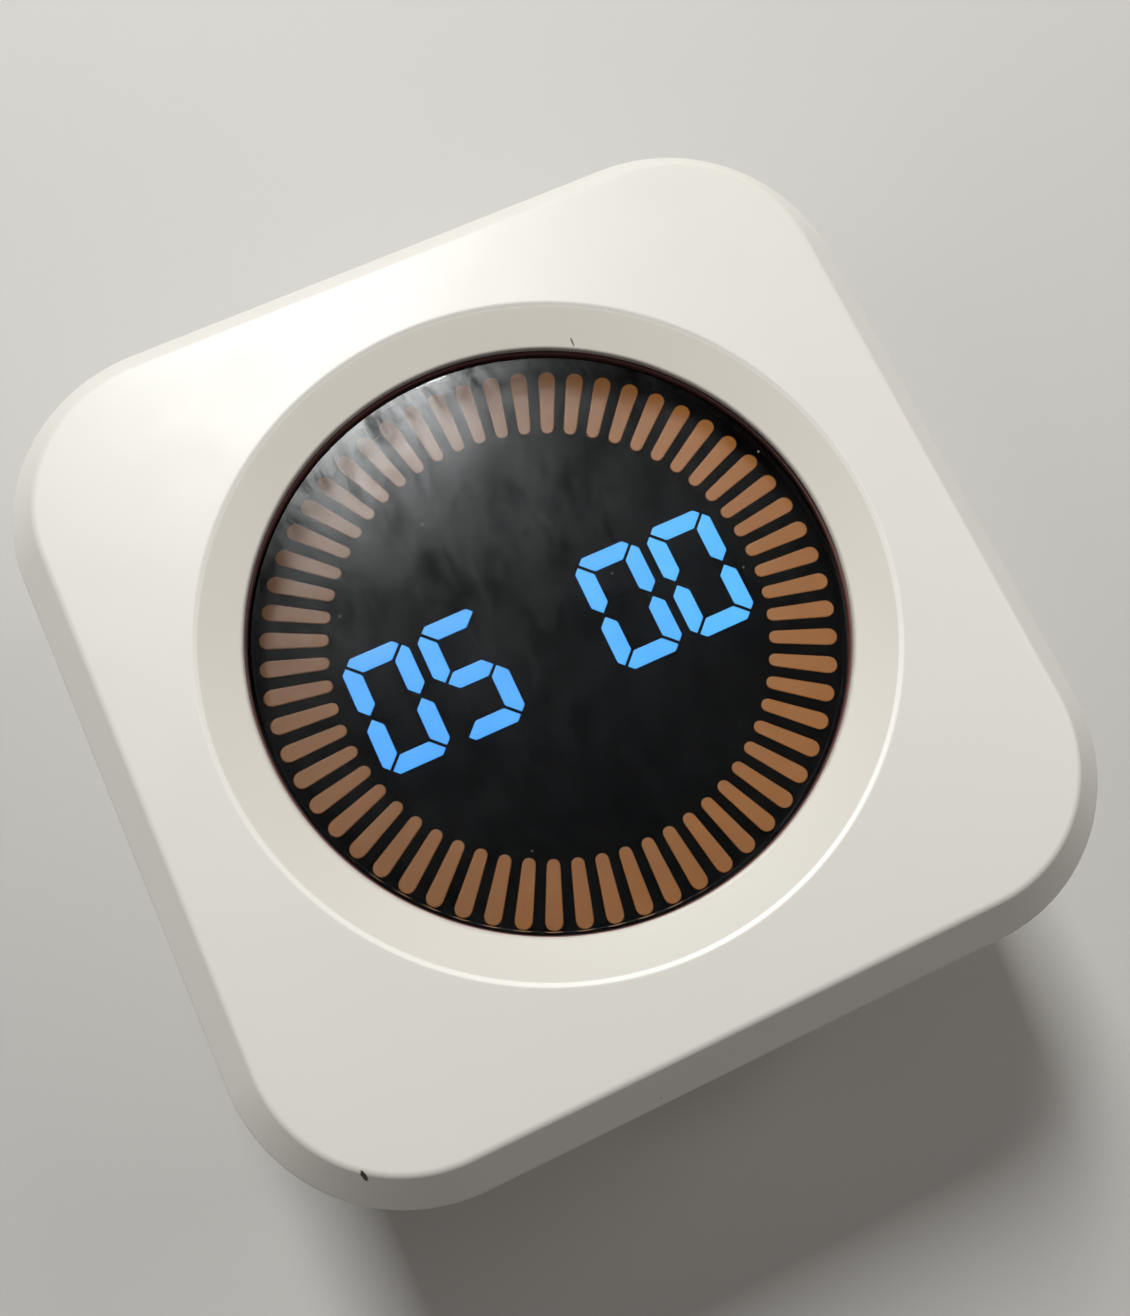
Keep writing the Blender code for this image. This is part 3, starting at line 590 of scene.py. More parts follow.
def parting_grime(tree, colour, patchy):
    """Grime in the joint between the housing and the cover."""
    height = separate(tree, position(tree))[2]
    from_parting = maths(tree, "ABSOLUTE", maths(tree, "SUBTRACT", height, PARTING + FIT / 2))
    at_parting = ranged(tree, from_parting, 0.15, 0.6, 1, 0, smooth=True)
    return mixed(tree, product(tree, at_parting, patchy, 0.5), colour, (0.42, 0.38, 0.33))


def stray_marks(tree, colour):
    """Fine dark specks, a chipped spot at the front's lower left corner and a short hair in the dish."""
    colour = mixed(tree, specks(tree, 5.0, 0.10, 0.10, 3.0), colour, (0.35, 0.31, 0.27))
    chip = near_place(tree, (-30.9, -33.4, HOUSING_HIGH.z), (0.22, 0.62, 1.0))
    hair = near_place(tree, (12.6, 22.8, HOUSING_HIGH.z - DISH_DROP), (0.09, 0.42, 1.0))
    colour = mixed(tree, chip, colour, (0.035, 0.025, 0.02))
    return mixed(tree, hair, colour, (0.20, 0.155, 0.13))


def white_case_material():
    """Satin white ABS with a faint mottle and scuffs, over waves and a grain left by the mould."""
    material, tree, shader = new_material("white_abs")
    patchy = noise(tree, 3.0, detail=4.0, offset=(1, 7, 2))
    colour = mixed(tree, noise(tree, 26, detail=2.0), (0.812, 0.767, 0.700), (0.800, 0.761, 0.700))
    # Grime along the opening, painted shade in the dish and painted light on the dish's steep edge
    colour = dish_grime_and_painted_light(tree, colour, patchy)
    colour = parting_grime(tree, colour, patchy)
    wire(tree, stray_marks(tree, colour), shader.inputs["Base Color"])
    gloss = spread(tree, noise(tree, 7.0, detail=4.0), 0.35, 0.43)
    scuffs = maths(tree, "MAXIMUM", scratches(tree, 25, 5.0, 0.10, 1.0),
                   scratches(tree, 110, 6.0, 0.08, 4.0))
    wire(tree, maths(tree, "SUBTRACT", gloss, product(tree, scuffs, 0.12)), shader.inputs["Roughness"])
    fine = bumped(tree, shader, noise(tree, 0.4, detail=3.0), 0.003)
    waves = bumped(tree, shader, noise(tree, 12.0, detail=1.0), 0.03, over=fine)
    bumped(tree, shader, scuffs, -0.004, over=waves)
    return material


def towards_glare(tree):
    """About how far a place is, in millimetres, from the display's middle towards its upper left."""
    across, up = separate(tree, position(tree))[:2]
    return maths(tree, "SUBTRACT", up, product(tree, across, GLARE_SLANT))


def grease_film(tree):
    """How much grease is on the lens: wiped and scratched, thin in most places and thicker at the top."""
    smear = noise(tree, 7.0, detail=5.0, roughness=0.62, stretch=(1, 0.6, 1), distortion=1.2)
    wiped = noise(tree, 2.6, detail=6.0, roughness=0.7, stretch=(1, 0.35, 1), offset=(8, 2, 0),
                  distortion=2.2)
    film = maths(tree, "ADD", product(tree, smear, 0.55), product(tree, wiped, 0.45))
    film = ranged(tree, film, 0.40, 0.60, 0.15, 1.0)
    lines = maths(tree, "MAXIMUM", scratches(tree, 62, 3.6, 0.10, 2.0),
                  scratches(tree, -20, 4.4, 0.08, 7.0))
    film = maths(tree, "ADD", film, product(tree, lines, 0.5))
    along = towards_glare(tree)
    sideways = separate(tree, position(tree))[0]
    off_middle = maths(tree, "ABSOLUTE", maths(tree, "ADD", sideways, 4.0))
    thick = product(tree, ranged(tree, along, 14, 22, 0, 0.75, smooth=True),
                    ranged(tree, off_middle, 6, 16, 1.0, 0.2, smooth=True))
    thin = product(tree, ranged(tree, along, -16, 12, 0.40, 0.75, smooth=True),
                   ranged(tree, sideways, -24, -12, 0.6, 1.0))
    return maths(tree, "MULTIPLY", film, maths(tree, "ADD", thin, thick), clamp=True)


def lens_material():
    """Smoked clear acrylic with a film of grease and dust on it; light from the lamps passes through."""
    material, tree, shader = new_material("smoked_acrylic")
    shader.inputs["IOR"].default_value = 1.49
    shader.inputs["Roughness"].default_value = 0.02
    shader.inputs["Base Color"].default_value = (0.80, 0.815, 0.82, 1.0)
    shader.inputs["Coat Roughness"].default_value = 0.21
    shader.inputs["Coat IOR"].default_value = 1.5
    wire(tree, grease_film(tree), shader.inputs["Coat Weight"])
    dust = maths(tree, "MAXIMUM", specks(tree, 1.6, 0.09, 0.09, 6.0), specks(tree, 3.4, 0.19, 0.10, 11.0))
    clear = maths(tree, "SUBTRACT", 1.0, product(tree, dust, 0.45))
    wire(tree, clear, shader.inputs["Transmission Weight"])
    through = add(tree, "BsdfTransparent")
    through.inputs["Color"].default_value = (0.866, 0.866, 0.866, 1.0)
    choose = add(tree, "MixShader")
    wire(tree, add(tree, "LightPath").outputs["Is Shadow Ray"], choose.inputs[0])
    wire(tree, shader.outputs[0], choose.inputs[1])
    wire(tree, through.outputs[0], choose.inputs[2])
    wire(tree, choose.outputs[0], tree.nodes["Material Output"].inputs["Surface"])
    return material


def lit_material(name, colour):
    """A segment lit from behind: nearly even, with a faint random unevenness."""
    material, tree, shader = new_material(name)
    shader.inputs["Base Color"].default_value = (*shaded(colour, 0.08), 1.0)
    uneven = spread(tree, noise(tree, 2.2, detail=2.0), 0.96, 1.04)
    shader.inputs["Emission Color"].default_value = (*colour, 1.0)
    wire(tree, uneven, shader.inputs["Emission Strength"])
    shader.inputs["Roughness"].default_value = 0.4
    bumped(tree, shader, noise(tree, 0.4), 0.004)
    return material


def amber_material():
    """Unlit bars: warm translucent plastic with a painted glow: they emit light, more on one side and less
    towards the upper left.
    """
    material, tree, shader = new_material("amber_diffuser")
    tone = noise(tree, 5.0, detail=3.0, roughness=0.6)
    colour = mixed(tree, tone, (0.034, 0.0125, 0.0022), (0.046, 0.0175, 0.0036))
    pits = specks(tree, 1.2, 0.09, 0.25, 9.0)
    colour = mixed(tree, product(tree, pits, 0.4), colour, (0.018, 0.007, 0.003))
    wire(tree, colour, shader.inputs["Base Color"])
    # Painted glow: the unlit bars emit light, stronger to the right and fainter towards the upper left
    shader.inputs["Emission Color"].default_value = (0.224, 0.083, 0.0165, 1.0)
    sideways = separate(tree, position(tree))[0]
    glow = product(tree, ranged(tree, sideways, -25, 25, 0.76, 1.46),
                   ranged(tree, towards_glare(tree), 4, 22, 1.0, 0.45, smooth=True),
                   spread(tree, tone, 0.93, 1.07),
                   maths(tree, "SUBTRACT", 1.0, product(tree, pits, 0.25)))
    wire(tree, glow, shader.inputs["Emission Strength"])
    wire(tree, spread(tree, noise(tree, 1.5), 0.42, 0.58), shader.inputs["Roughness"])
    bumped(tree, shader, noise(tree, 0.25, detail=2.0), 0.006)
    return material


def plated_material(name, colour, roughness):
    """Plated metal with fine drawn lines and dull patches."""
    material, tree, shader = new_material(name)
    shader.inputs["Metallic"].default_value = 1.0
    dull = noise(tree, 1.8, detail=4.0)
    wire(tree, mixed(tree, dull, shaded(colour, 0.8), colour), shader.inputs["Base Color"])
    lines = noise(tree, 0.12, detail=2.0, stretch=(1, 1, 0.08))
    wire(tree, spread(tree, lines, roughness - 0.08, roughness + 0.1), shader.inputs["Roughness"])
    bumped(tree, shader, lines, 0.002)
    return material


def board_material(name, board_top, parts_colour):
    """Circuit board: green solder mask over copper tracks, bare glass fibre at the cut edge."""
    material, tree, shader = new_material(name)
    height = separate(tree, position(tree))[2]
    mask_colour = mixed(tree, noise(tree, 8.0), (0.012, 0.095, 0.035), (0.016, 0.12, 0.045))
    tracks = add(tree, "TexBrick", offset=0.5, squash=1.0)
    tracks.inputs["Scale"].default_value = 0.42
    tracks.inputs["Mortar Size"].default_value = 0.055
    tracks.inputs["Brick Width"].default_value = 1.6
    tracks.inputs["Row Height"].default_value = 0.42
    wire(tree, position(tree), tracks.inputs["Vector"])
    in_use = ranged(tree, noise(tree, 9.0, detail=0.0, offset=(4, 4, 0)), 0.45, 0.5, 0, 1)
    track = product(tree, tracks.outputs["Fac"], in_use)
    colour = mixed(tree, track, mask_colour, (0.035, 0.20, 0.065))
    vias = specks(tree, 3.0, 0.32, 0.35, 2.0)
    colour = mixed(tree, vias, colour, (0.55, 0.56, 0.55))
    steep = separate(tree, add(tree, "NewGeometry").outputs["Normal"])[2]
    edge = ranged(tree, maths(tree, "ABSOLUTE", steep), 0.3, 0.6, 1, 0)
    colour = mixed(tree, edge, colour, (0.42, 0.36, 0.17))
    on_parts = ranged(tree, height, board_top + 0.02, board_top + 0.06, 0, 1)
    colour = mixed(tree, on_parts, colour, parts_colour)
    wire(tree, colour, shader.inputs["Base Color"])
    wire(tree, spread(tree, noise(tree, 2.0), 0.28, 0.42), shader.inputs["Roughness"])
    bumped(tree, shader, track, 0.02)
    return material


def foil_material():
    """Aluminium pouch of the battery, softly wrinkled."""
    material, tree, shader = new_material("foil_pouch")
    shader.inputs["Metallic"].default_value = 0.85
    wire(tree, mixed(tree, noise(tree, 11.0), (0.46, 0.47, 0.49), (0.60, 0.61, 0.62)),
         shader.inputs["Base Color"])
    wire(tree, spread(tree, noise(tree, 3.0), 0.32, 0.46), shader.inputs["Roughness"])
    wrinkles = noise(tree, 4.5, detail=3.0, stretch=(1, 0.35, 1), distortion=1.5)
    bumped(tree, shader, wrinkles, 0.25)
    return material


def foam_material():
    """Closed-cell foam."""
    material, tree, shader = new_material("closed_cell_foam")
    cells = add(tree, "TexVoronoi", feature="F1")
    cells.inputs["Scale"].default_value = 2.5
    wire(tree, position(tree), cells.inputs["Vector"])
    wire(tree, mixed(tree, cells.outputs["Distance"], (0.03, 0.03, 0.034), (0.075, 0.075, 0.08)),
         shader.inputs["Base Color"])
    shader.inputs["Roughness"].default_value = 0.95
    bumped(tree, shader, cells.outputs["Distance"], 0.15)
    return material


def ribbon_material():
    """Flat cable: parallel wires in clear film, the first one marked red."""
    material, tree, shader = new_material("flat_cable")
    sideways = separate(tree, position(tree))[1]
    across = maths(tree, "PINGPONG", sideways, 0.5)
    wire_colour = mixed(tree, ranged(tree, across, 0.1, 0.2, 0, 1), (0.70, 0.71, 0.72), (0.42, 0.43, 0.44))
    edge = low_high("ribbon_cable")[0].y
    first = ranged(tree, sideways, edge + 0.95, edge + 1.05, 1, 0)
    wire(tree, mixed(tree, first, wire_colour, (0.45, 0.03, 0.03)), shader.inputs["Base Color"])
    wire(tree, spread(tree, noise(tree, 2.0), 0.35, 0.5), shader.inputs["Roughness"])
    bumped(tree, shader, across, 0.15)
    return material


def floor_material():
    """Plain pale floor with the faintest unevenness."""
    material, tree, shader = new_material("pale_floor")
    wire(tree, mixed(tree, noise(tree, 60.0, detail=3.0), (0.615, 0.588, 0.558), (0.645, 0.618, 0.588)),
         shader.inputs["Base Color"])
    shader.inputs["Roughness"].default_value = 0.8
    bumped(tree, shader, noise(tree, 1.2, detail=4.0), 0.02)
    return material


# Case

def housing_mesh():
    lip_top = HOUSING_HIGH.z - DISH_DROP
    seat_top = lip_top - LIP_THICKNESS
    under_face = HOUSING_HIGH.z - FACE_THICKNESS
    seat_radius = BEZEL_HIGH.x + FIT
    outside = filleted([(WALL / 2, HOUSING_LOW.z, 0),
                        (0, HOUSING_LOW.z, PARTING_ROUNDING),
                        (0, HOUSING_HIGH.z - BEVEL_DOWN, RIM_ROUNDING),
                        (BEVEL_IN, HOUSING_HIGH.z, CREASE_ROUNDING),
                        (BEVEL_IN + 2 * CREASE_ROUNDING, HOUSING_HIGH.z, 0)])
    dish = filleted([(DISH_RADIUS + DISH_ROUNDING, HOUSING_HIGH.z, 0),
                     (DISH_RADIUS, HOUSING_HIGH.z, DISH_ROUNDING),
                     (DISH_RADIUS - DISH_STEP[0], HOUSING_HIGH.z - DISH_STEP[1], DISH_ROUNDING),
                     (OPENING_RADIUS, lip_top, LIP_ROUNDING),
                     (OPENING_RADIUS, seat_top, 0),
                     (seat_radius, seat_top, 0),
                     (seat_radius, under_face, 0)])
    inside = [(BEVEL_IN + WALL / 2, under_face), (WALL, under_face - WALL), (WALL, HOUSING_LOW.z)]
    levels = [(case_outline(inset), z) for inset, z in outside]
    levels += [(circle(radius), z) for radius, z in dish]
    levels += [(case_outline(inset), z) for inset, z in inside]
    mesh = mesh_of("front_housing_shell", layers(levels, closed=True))
    display_boss = middle("display_screw_1")
    corner_boss = middle("cover_screw_1")
    display_boss_bottom = low_high("led_board")[0].z + BOARD_THICKNESS + FIT
    columns = [(place, CORNER_BOSS_RADIUS, COVER_BOSS_TOP + FIT, CORNER_BORE_TOP)
               for place in four_corners(corner_boss.x, corner_boss.y)]
    columns += [(place, BOSS_RADIUS, display_boss_bottom, under_face - FIT)
                for place in four_corners(display_boss.x, display_boss.y)]
    bosses, bores = [], []
    for place, radius, bottom, bore_top in columns:
        bosses.append(moved(turned([(radius - CHAMFER, bottom), (radius, bottom + CHAMFER),
                                    (radius, under_face + FIT)], 32), place))
        bores.append(moved(turned([(BORE_RADIUS, bottom - CUT_PAST), (BORE_RADIUS, bore_top)], 24), place))
    mesh = combine(mesh, joined(bosses), "UNION")
    return combine(mesh, joined(bores), "DIFFERENCE")


def cover_holes():
    """Cutters for the controls, the socket, the sound holes and the feet, with broken outer edges."""
    face = COVER_LOW.z
    cuts = []

    def opening(outline_at, place):
        """outline_at(grown) gives the hole's outline, grown by that much."""
        shape = layers([(outline_at(CHAMFER + CUT_PAST), face - CUT_PAST), (outline_at(0), face + CHAMFER),
                        (outline_at(0), PARTING + CUT_PAST)])
        cuts.append(moved(shape, place))

    for name in BUTTONS:
        opening(lambda grown: circle(BUTTON_RADIUS + FIT + grown, 64, 0), middle(f"button_{name}"))
    opening(lambda grown: round_cornered(SLOT_SIZE[0] + 2 * grown, SLOT_SIZE[1] + 2 * grown, 0.4 + grown),
            middle("slide_switch"))
    half = half_size("usb_socket")
    opening(lambda grown: round_ended(half.x + FIT + grown, half.y + FIT + grown, 16),
            middle("usb_socket"))
    buzzer = middle("buzzer")
    for place in [(0, 0)] + circle(SOUND_HOLE_PITCH, 6, 0):
        opening(lambda grown: circle(SOUND_HOLE_RADIUS + grown / 2, 24, 0),
                (buzzer.x + place[0], buzzer.y + place[1]))
    foot = middle("rubber_foot_1")
    foot_radius = half_size("rubber_foot_1").x + FIT
    seat = turned([(foot_radius, face - CUT_PAST), (foot_radius, FOOT_SEAT_TOP),
                   (COUNTERBORE_RADIUS, FOOT_SEAT_TOP), (COUNTERBORE_RADIUS, COUNTERBORE_TOP),
                   (BORE_RADIUS, COUNTERBORE_TOP), (BORE_RADIUS, COVER_BOSS_TOP + CUT_PAST)], 64)
    cuts += [moved(seat, place) for place in four_corners(foot.x, foot.y)]
    return cuts


def cover_mesh():
    lip_outer = WALL + FIT
    lip_inner = lip_outer + COVER_LIP_WALL
    lip_top = PARTING + COVER_LIP_HEIGHT
    edge = filleted([(2 * COVER_EDGE, COVER_LOW.z, 0),
                     (0, COVER_LOW.z, COVER_EDGE),
                     (0, PARTING, PARTING_ROUNDING),
                     (lip_outer, PARTING, 0),
                     (lip_outer, lip_top, PARTING_ROUNDING),
                     (lip_inner, lip_top, 0),
                     (lip_inner, PARTING, 0)], steps=8)
    mesh = mesh_of("rear_cover_shell", layers([(case_outline(inset), z) for inset, z in edge]))
    corner = middle("cover_screw_1")
    board = middle("board_screw_1")
    board_boss_top = low_high("main_board")[0].z - FIT
    corner_boss = turned([(COVER_BOSS_RADIUS, PARTING - FIT), (COVER_BOSS_RADIUS, COVER_BOSS_TOP)])
    board_boss = turned([(BOSS_RADIUS, PARTING - FIT), (BOSS_RADIUS, board_boss_top)], 32)
    bore = turned([(BORE_RADIUS, PARTING), (BORE_RADIUS, board_boss_top + CUT_PAST)], 24)
    bosses = [moved(corner_boss, place) for place in four_corners(corner.x, corner.y)]
    bosses += [moved(board_boss, place) for place in four_corners(board.x, board.y)]
    bores = [moved(bore, place) for place in four_corners(board.x, board.y)]
    mesh = combine(mesh, joined(bosses), "UNION")
    return combine(mesh, joined(cover_holes() + bores), "DIFFERENCE")


def make_case(white):
    piece("front_shell", housing_mesh(), [white], ["front_housing"])
    piece("back_shell", cover_mesh(), [white], ["rear_cover"])


def make_feet(rubber):
    for number in range(1, 5):
        node = f"rubber_foot_{number}"
        low, high = low_high(node)
        radius = half_size(node).x
        profile = filleted([(0.3, low.z + 0.12, 0), (radius - 1.1, low.z + 0.12, 0.3),
                            (radius - 1.0, low.z, 0.1), (radius, low.z, 0.4), (radius, high.z, 0)])
        piece(f"foot_pad_{number}", moved(turned(profile), middle(node)), [rubber], [node])


# Display

def make_lens(smoked, painted):
    """Stepped disc: its flange is held behind the bezel, and its middle fills the bezel's bore."""
    profile = filleted([(0.5, LENS_LOW.z, 0),
                        (LENS_HIGH.x, LENS_LOW.z, 0.15),
                        (LENS_HIGH.x, FLANGE_TOP, 0.15),
                        (WINDOW_RADIUS, FLANGE_TOP, 0.1),
                        (WINDOW_RADIUS, LENS_HIGH.z - LENS_CROWN, 0),
                        (LENS_FLAT_RADIUS, LENS_HIGH.z, LENS_CROWN_ROUNDING),
                        (0.5, LENS_HIGH.z, 0)])
    lens = layers([(circle(radius), z) for radius, z in profile])
    item = piece("lens_window", lens, [smoked, painted], ["display_lens"])
    # Paint on the side wall of the middle keeps the bezel's bore dark
    for face in item.data.polygons:
        if abs(face.normal.z) < 0.02 and face.center.z > FLANGE_TOP * MM:
            face.material_index = 1


def make_bezel(black, adhesive):
    glue_low, glue_high = low_high("lens_adhesive_ring")
    seat_height = glue_high.z + FIT
    section = filleted([(BEZEL_HIGH.x, (BEZEL_LOW.z + BEZEL_HIGH.z) / 2, 0),
                        (BEZEL_HIGH.x, BEZEL_HIGH.z, 0.2),
                        (BEZEL_BORE, BEZEL_HIGH.z, 0.2),
                        (BEZEL_BORE, seat_height, 0.1),
                        (LENS_HIGH.x + FIT, seat_height, 0),
                        (LENS_HIGH.x + FIT, BEZEL_LOW.z, 0.1),
                        (BEZEL_HIGH.x, BEZEL_LOW.z, 0.1),
                        (BEZEL_HIGH.x, (BEZEL_LOW.z + BEZEL_HIGH.z) / 2 - FIT, 0)], steps=4)
    piece("bezel_ring", tube(section), [black], ["lens_bezel"])
    bead = filleted([(glue_high.x, (glue_low.z + glue_high.z) / 2, 0), (glue_high.x, glue_high.z, 0.08),
                     (BEZEL_BORE, glue_high.z, 0.12), (BEZEL_BORE, glue_low.z, 0.12),
                     (glue_high.x, glue_low.z, 0.08), (glue_high.x, glue_low.z + 0.1, 0)], steps=3)
    piece("adhesive_bead", tube(bead), [adhesive], ["lens_adhesive_ring"])


def make_mask(black):
    windows = [bar_outline(index) for index in range(BAR_COUNT)]
    for node in DIGIT_NODES:
        windows += segment_outlines(node)
    mask = slab([circle(MASK_HIGH.x)] + windows, MASK_LOW.z, MASK_HIGH.z)
    piece("printed_mask", mask, [black], ["display_mask"])


def crowned(outline, bottom, top):
    """A light guide that fills its window, with a softly rounded top."""
    outline = shrunk(outline, GUIDE_CLEARANCE)
    return layers([(outline, bottom), (outline, top - 0.06), (shrunk(outline, 0.03), top - 0.02),
                   (shrunk(outline, 0.09), top)])


def make_bar_guide(amber):
    bottom = low_high("bar_light_guide")[0].z
    inner, outer = BAR_RING
    ring = tube([(outer, bottom), (outer, BAR_RING_TOP), (inner, BAR_RING_TOP), (inner, bottom)])
    bars = [crowned(bar_outline(index), BAR_RING_TOP - 0.1, MASK_HIGH.z) for index in range(BAR_COUNT)]
    mesh = combine(mesh_of("bar_guide", ring), joined(bars), "UNION")
    piece("bar_guide", mesh, [amber], ["bar_light_guide"])


def make_digit_guides(lit, unlit, plate_material):
    """Each digit: a plate with seven segments standing on it. Faces of a lit segment glow."""
    for number, (node, figure, glowing) in enumerate(zip(DIGIT_NODES, SHOWN, lit), 1):
        low, high = low_high(node)
        plate_top = low.z + PLATE_THICKNESS
        edge = round_cornered(high.x - low.x, high.y - low.y, 0.4)
        shapes = [moved(layers([(edge, low.z), (edge, plate_top)]), (middle(node).x, 0))]
        shapes += [crowned(outline, plate_top + 0.02, MASK_HIGH.z) for outline in segment_outlines(node)]
        mesh = mesh_of(f"digit_guide_{number}", joined(shapes))
        item = piece(f"digit_guide_{number}", mesh, [plate_material, glowing, unlit], [node])
        paint(item, shapes, [0] + [1 if is_lit else 2 for is_lit in LIT_SEGMENTS[figure]])


# Controls in the rear cover

def make_buttons(white):
    flange_from = PARTING + FIT
    for name in BUTTONS:
        node = f"button_{name}"
        low, high = low_high(node)
        flange_radius = half_size(node).x
        profile = filleted([(0.2, low.z + 0.28, 0), (BUTTON_RADIUS - 1.4, low.z + 0.24, 1.5),
                            (BUTTON_RADIUS - 0.5, low.z, 0.3), (BUTTON_RADIUS, low.z + 0.25, 0.25),
                            (BUTTON_RADIUS, flange_from, 0), (flange_radius, flange_from, 0.1),
                            (flange_radius, high.z, 0.1), (0.2, high.z, 0)])
        cap = moved(turned(profile, 64), middle(node))
        piece(f"{name}_button_cap", cap, [white], [node], f"{name}_button")


def make_slide_knob(white):
    """Grip with ridges across its travel, on a flange that keeps the slot closed."""
    low, high = low_high("slide_knob")
    centre = middle("slide_knob")
    flange_from = PARTING + FIT
    flange_edge = round_cornered(high.x - low.x, high.y - low.y, 0.4)
    flange = layers([(flange_edge, flange_from), (flange_edge, high.z)])
    grip_length, grip_width = 4.4, 2.8
    grip_section = [(0, flange_from + 0.1), (0, low.z + 0.55), (0.12, low.z + 0.4), (0.4, low.z + 0.32)]
    grip = layers([(round_cornered(grip_length - taper, grip_width - taper, 0.35), z)
                   for taper, z in grip_section])
    mesh = combine(mesh_of("slide_grip", flange), grip, "UNION")
    ridge_pitch, ridge_count = 0.72, 5
    ridge_foot = round_cornered(0.42, grip_width - 0.7, 0.15)
    ridge_crest = round_cornered(0.2, grip_width - 0.9, 0.08)
    ridge = layers([(ridge_foot, low.z + 0.45), (ridge_foot, low.z + 0.1), (ridge_crest, low.z)])
    ridges = [moved(ridge, ((index - ridge_count // 2) * ridge_pitch, 0)) for index in range(ridge_count)]
    mesh = combine(mesh, joined(ridges), "UNION")
    mesh.transform(Matrix.Translation((centre.x * MM, centre.y * MM, 0)))
    piece("slide_grip", mesh, [white], ["slide_knob"], "mode_slider")


def make_usb_socket(steel, chip_black, gold):
    """Drawn steel shell with a plastic tongue and its contacts."""
    low, high = low_high("usb_socket")
    half = half_size("usb_socket")
    wall, depth = 0.3, 6.0
    floor = low.z + depth
    section = [(wall, floor), (wall, low.z + 0.12), (wall - 0.1, low.z),
               (0.08, low.z), (0, low.z + 0.1), (0, high.z)]
    shell = layers([(round_ended(half.x - inset, half.y - inset, 16), z) for inset, z in section])
    tongue_width, tongue_thickness, tongue_length = 6.7, 0.7, 5.1
    tongue_low = floor - tongue_length
    tongue_tip = round_cornered(tongue_width - 0.3, tongue_thickness - 0.2, 0.1)
    tongue_edge = round_cornered(tongue_width, tongue_thickness, 0.15)
    tongue = layers([(tongue_tip, tongue_low), (tongue_edge, tongue_low + 0.3), (tongue_edge, floor)])
    contact_pitch, contact_count = 0.5, 12
    contact_edge = round_cornered(0.26, 0.06, 0.02, 1)
    contact = layers([(contact_edge, tongue_low + 0.5), (contact_edge, floor - 0.6)])
    shapes = [shell, tongue]
    for side in (-1, 1):
        for index in range(contact_count):
            x = (index - (contact_count - 1) / 2) * contact_pitch
            shapes.append(moved(contact, (x, side * tongue_thickness / 2)))
    mesh = mesh_of("charging_socket", moved(joined(shapes), middle("usb_socket")))
    item = piece("charging_socket", mesh, [steel, chip_black, gold], ["usb_socket"])
    paint(item, shapes, [0, 1] + [2] * 2 * contact_count)


# Pieces that keep their CAD shape

def dress(material, *names):
    """Give a material to every CAD node whose name starts with one of these."""
    for name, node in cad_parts.items():
        if name.startswith(names):
            node.data.materials.clear()
            node.data.materials.append(material)


def dress_inside(steel, chip_black):
    led_top = low_high("led_board")[0].z + BOARD_THICKNESS
    main_top = low_high("main_board")[0].z + BOARD_THICKNESS
    dress(board_material("led_board_green", led_top, (0.78, 0.74, 0.55)), "led_board")
    dress(board_material("main_board_green", main_top, (0.02, 0.12, 0.05)), "main_board")
    dress(steel, "cover_screw", "display_screw", "board_screw")
    dress(plated_material("switch_frame", (0.52, 0.51, 0.49), 0.36), "tact_switch", "slide_switch")
    dress(chip_black, "microcontroller", "led_driver", "charger_chip", "gravity_sensor", "buzzer",
          "ribbon_socket", "tact_plunger", "switch_actuator")
    dress(moulded("shield_black", (0.016, 0.016, 0.017), 0.6, depth=0.01), "light_shield")
    dress(foil_material(), "battery")
    dress(foam_material(), "battery_pad")
    dress(moulded("connector_nylon", (0.72, 0.70, 0.64), 0.45), "battery_connector")
    dress(moulded("red_insulation", (0.45, 0.02, 0.02), 0.42, patch=3.0), "battery_lead_red")
    dress(moulded("black_insulation", (0.018, 0.018, 0.018), 0.42, patch=3.0), "battery_lead_black")
    dress(ribbon_material(), "ribbon_cable")


# Stage, light and camera

def make_floor():
    width, corner_radius = 1800, 60
    outline = round_cornered(width, width, corner_radius, 8)
    mesh = bpy.data.meshes.new("floor")
    mesh.from_pydata([(x * MM, y * MM, 0) for x, y in outline], [], [tuple(range(len(outline)))])
    mesh.materials.append(floor_material())
    floor = bpy.data.objects.new("floor", mesh)
    bpy.context.scene.collection.objects.link(floor)


def soft_light(name, tangent_x, tangent_y, height, size, power, colour):
    """Lamp aimed at the middle of the lens; its direction is given as tangents from straight up."""
    lamp = bpy.data.lights.new(name, "AREA")
    lamp.shape = "RECTANGLE"
    lamp.size, lamp.size_y = size[0] * MM, size[1] * MM
    lamp.energy = power
    lamp.color = colour
    item = bpy.data.objects.new(name, lamp)
    bpy.context.scene.collection.objects.link(item)
    target = Vector((0, 0, LENS_HIGH.z)) * MM
    item.location = target + Vector((tangent_x, tangent_y, 1)) * height * MM
    item.rotation_mode = "QUATERNION"
    item.rotation_quaternion = (target - item.location).to_track_quat("-Z", "Y")


def make_world():
    """Dark overhead and pale towards the horizon."""
    world = bpy.data.worlds.new("studio")
    world.use_nodes = True
    bpy.context.scene.world = world
    tree = world.node_tree
    background = tree.nodes["Background"]
    up = separate(tree, add(tree, "TexCoord").outputs["Generated"])[2]
    level = ranged(tree, up, 0.05, 0.5, 0.16, 0.0, smooth=True)
    wire(tree, level, background.inputs["Strength"])
    background.inputs["Color"].default_value = (0.98, 0.97, 0.95, 1.0)


def make_lights():
    soft_light("key", 0.04, 0.85, 420, (125, 170), 2.85, (0.97, 1.0, 1.0))
    soft_light("fill_right", 1.2, 0, 250, (200, 200), 0.34, (1.0, 0.98, 0.96))
    soft_light("fill_left", -1.2, 0, 250, (200, 200), 0.18, (1.0, 0.98, 0.96))
    make_world()


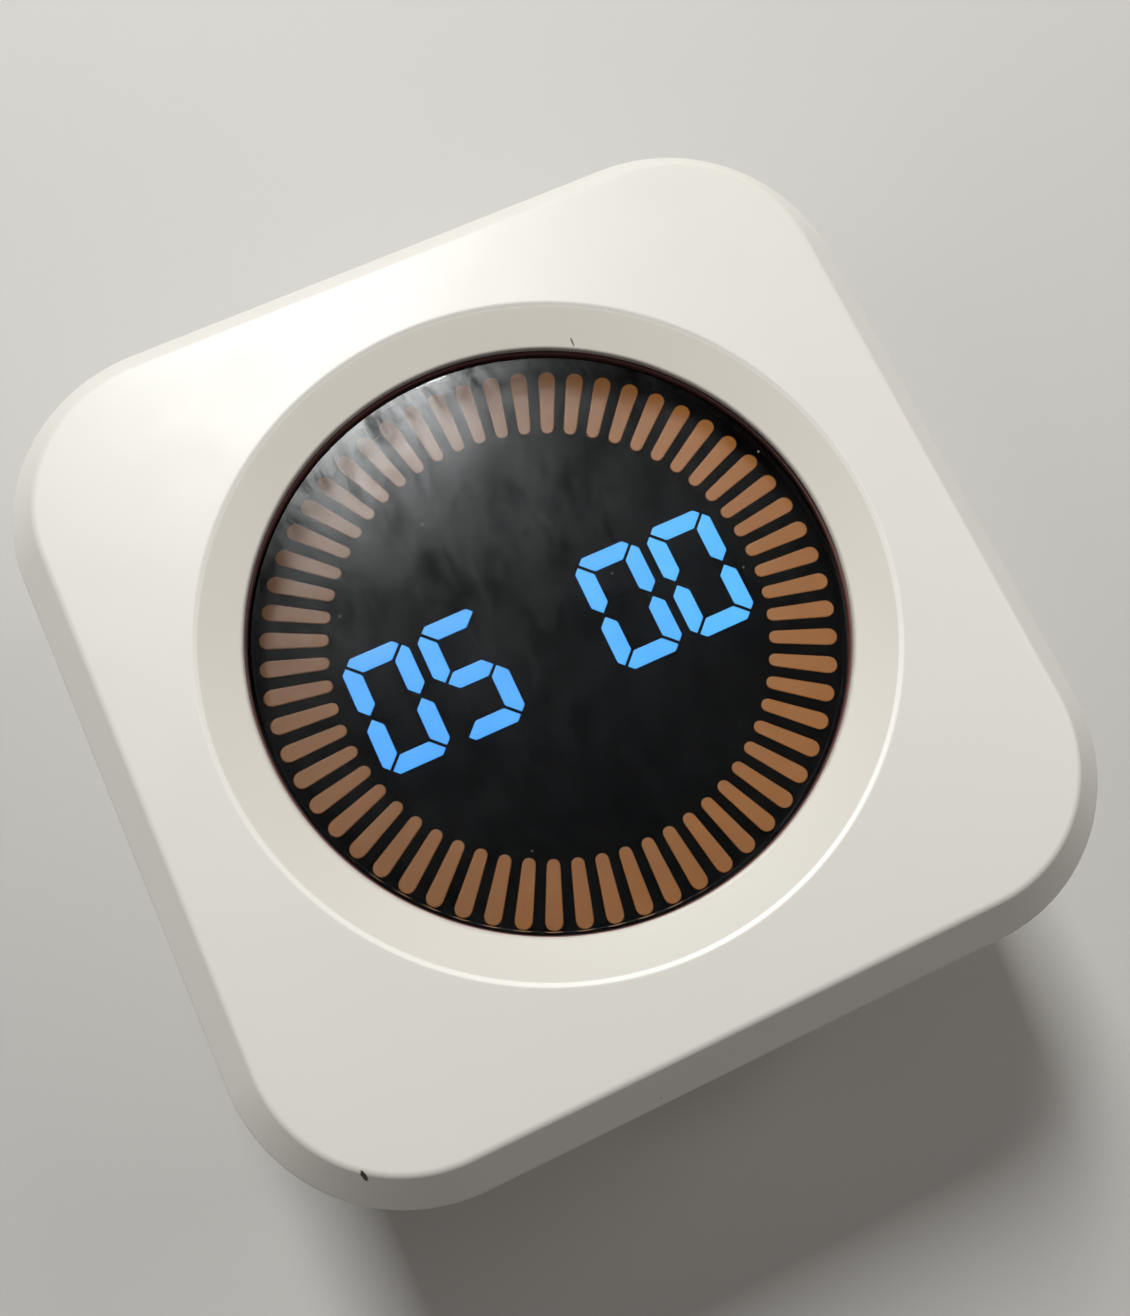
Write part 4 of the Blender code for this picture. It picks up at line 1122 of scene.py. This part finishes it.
def make_camera():
    """Close above the display, turned a little, as a phone is held over a table."""
    data = bpy.data.cameras.new("camera")
    data.sensor_width = 36
    data.lens = 30.91
    data.shift_y = 0.0722
    data.clip_start = 0.01
    camera = bpy.data.objects.new("camera", data)
    bpy.context.scene.collection.objects.link(camera)
    right = Vector((0.906356, -0.421617, 0.027525))
    up = Vector((0.409974, 0.893340, 0.184023))
    forward = Vector((0.102176, 0.155505, -0.982537))
    turn = Matrix((right, up, -forward)).transposed()
    place = Vector((-12.81, -24.43, 131.6)) * MM
    camera.matrix_world = Matrix.Translation(place) @ turn.to_4x4()
    bpy.context.scene.camera = camera


def main():
    white = white_case_material()
    controls = moulded("control_abs", (0.74, 0.735, 0.71), 0.4)
    # The bezel is black plastic; its reddish-brown colour is painted warm light on its bore wall
    black = moulded("bezel_black_painted_warm_light", (0.17, 0.068, 0.058), 0.42)
    ink = moulded("mask_ink", (0.0013, 0.0014, 0.0016), 0.75, depth=0.002, specular=0.03)
    adhesive = moulded("adhesive_black", (0.012, 0.012, 0.012), 0.7, depth=0.01)
    rubber = moulded("foot_rubber", (0.028, 0.028, 0.029), 0.72, grain=0.5, depth=0.015)
    chip_black = moulded("epoxy_black", (0.02, 0.02, 0.022), 0.5, depth=0.006)
    unlit = moulded("segment_unlit", (0.0016, 0.0017, 0.0019), 0.75, depth=0.002, specular=0.03)
    plate = moulded("guide_plate", (0.55, 0.57, 0.60), 0.4)
    steel = plated_material("nickel_plated_steel", (0.62, 0.61, 0.59), 0.28)
    gold = plated_material("contact_gold", (0.83, 0.60, 0.25), 0.25)
    blues = [lit_material(f"segment_blue_{index + 1}", colour)
             for index, colour in enumerate([(0.078, 0.46, 1.36), (0.080, 0.47, 1.36),
                                             (0.090, 0.52, 1.36), (0.102, 0.57, 1.36)])]
    make_case(white)
    make_feet(rubber)
    make_lens(lens_material(), ink)
    make_bezel(black, adhesive)
    make_mask(ink)
    make_bar_guide(amber_material())
    make_digit_guides(blues, unlit, plate)
    make_buttons(controls)
    make_slide_knob(controls)
    make_usb_socket(steel, chip_black, gold)
    dress_inside(steel, chip_black)
    make_floor()
    make_lights()
    make_camera()
    bpy.context.scene.view_settings.view_transform = "Standard"


main()
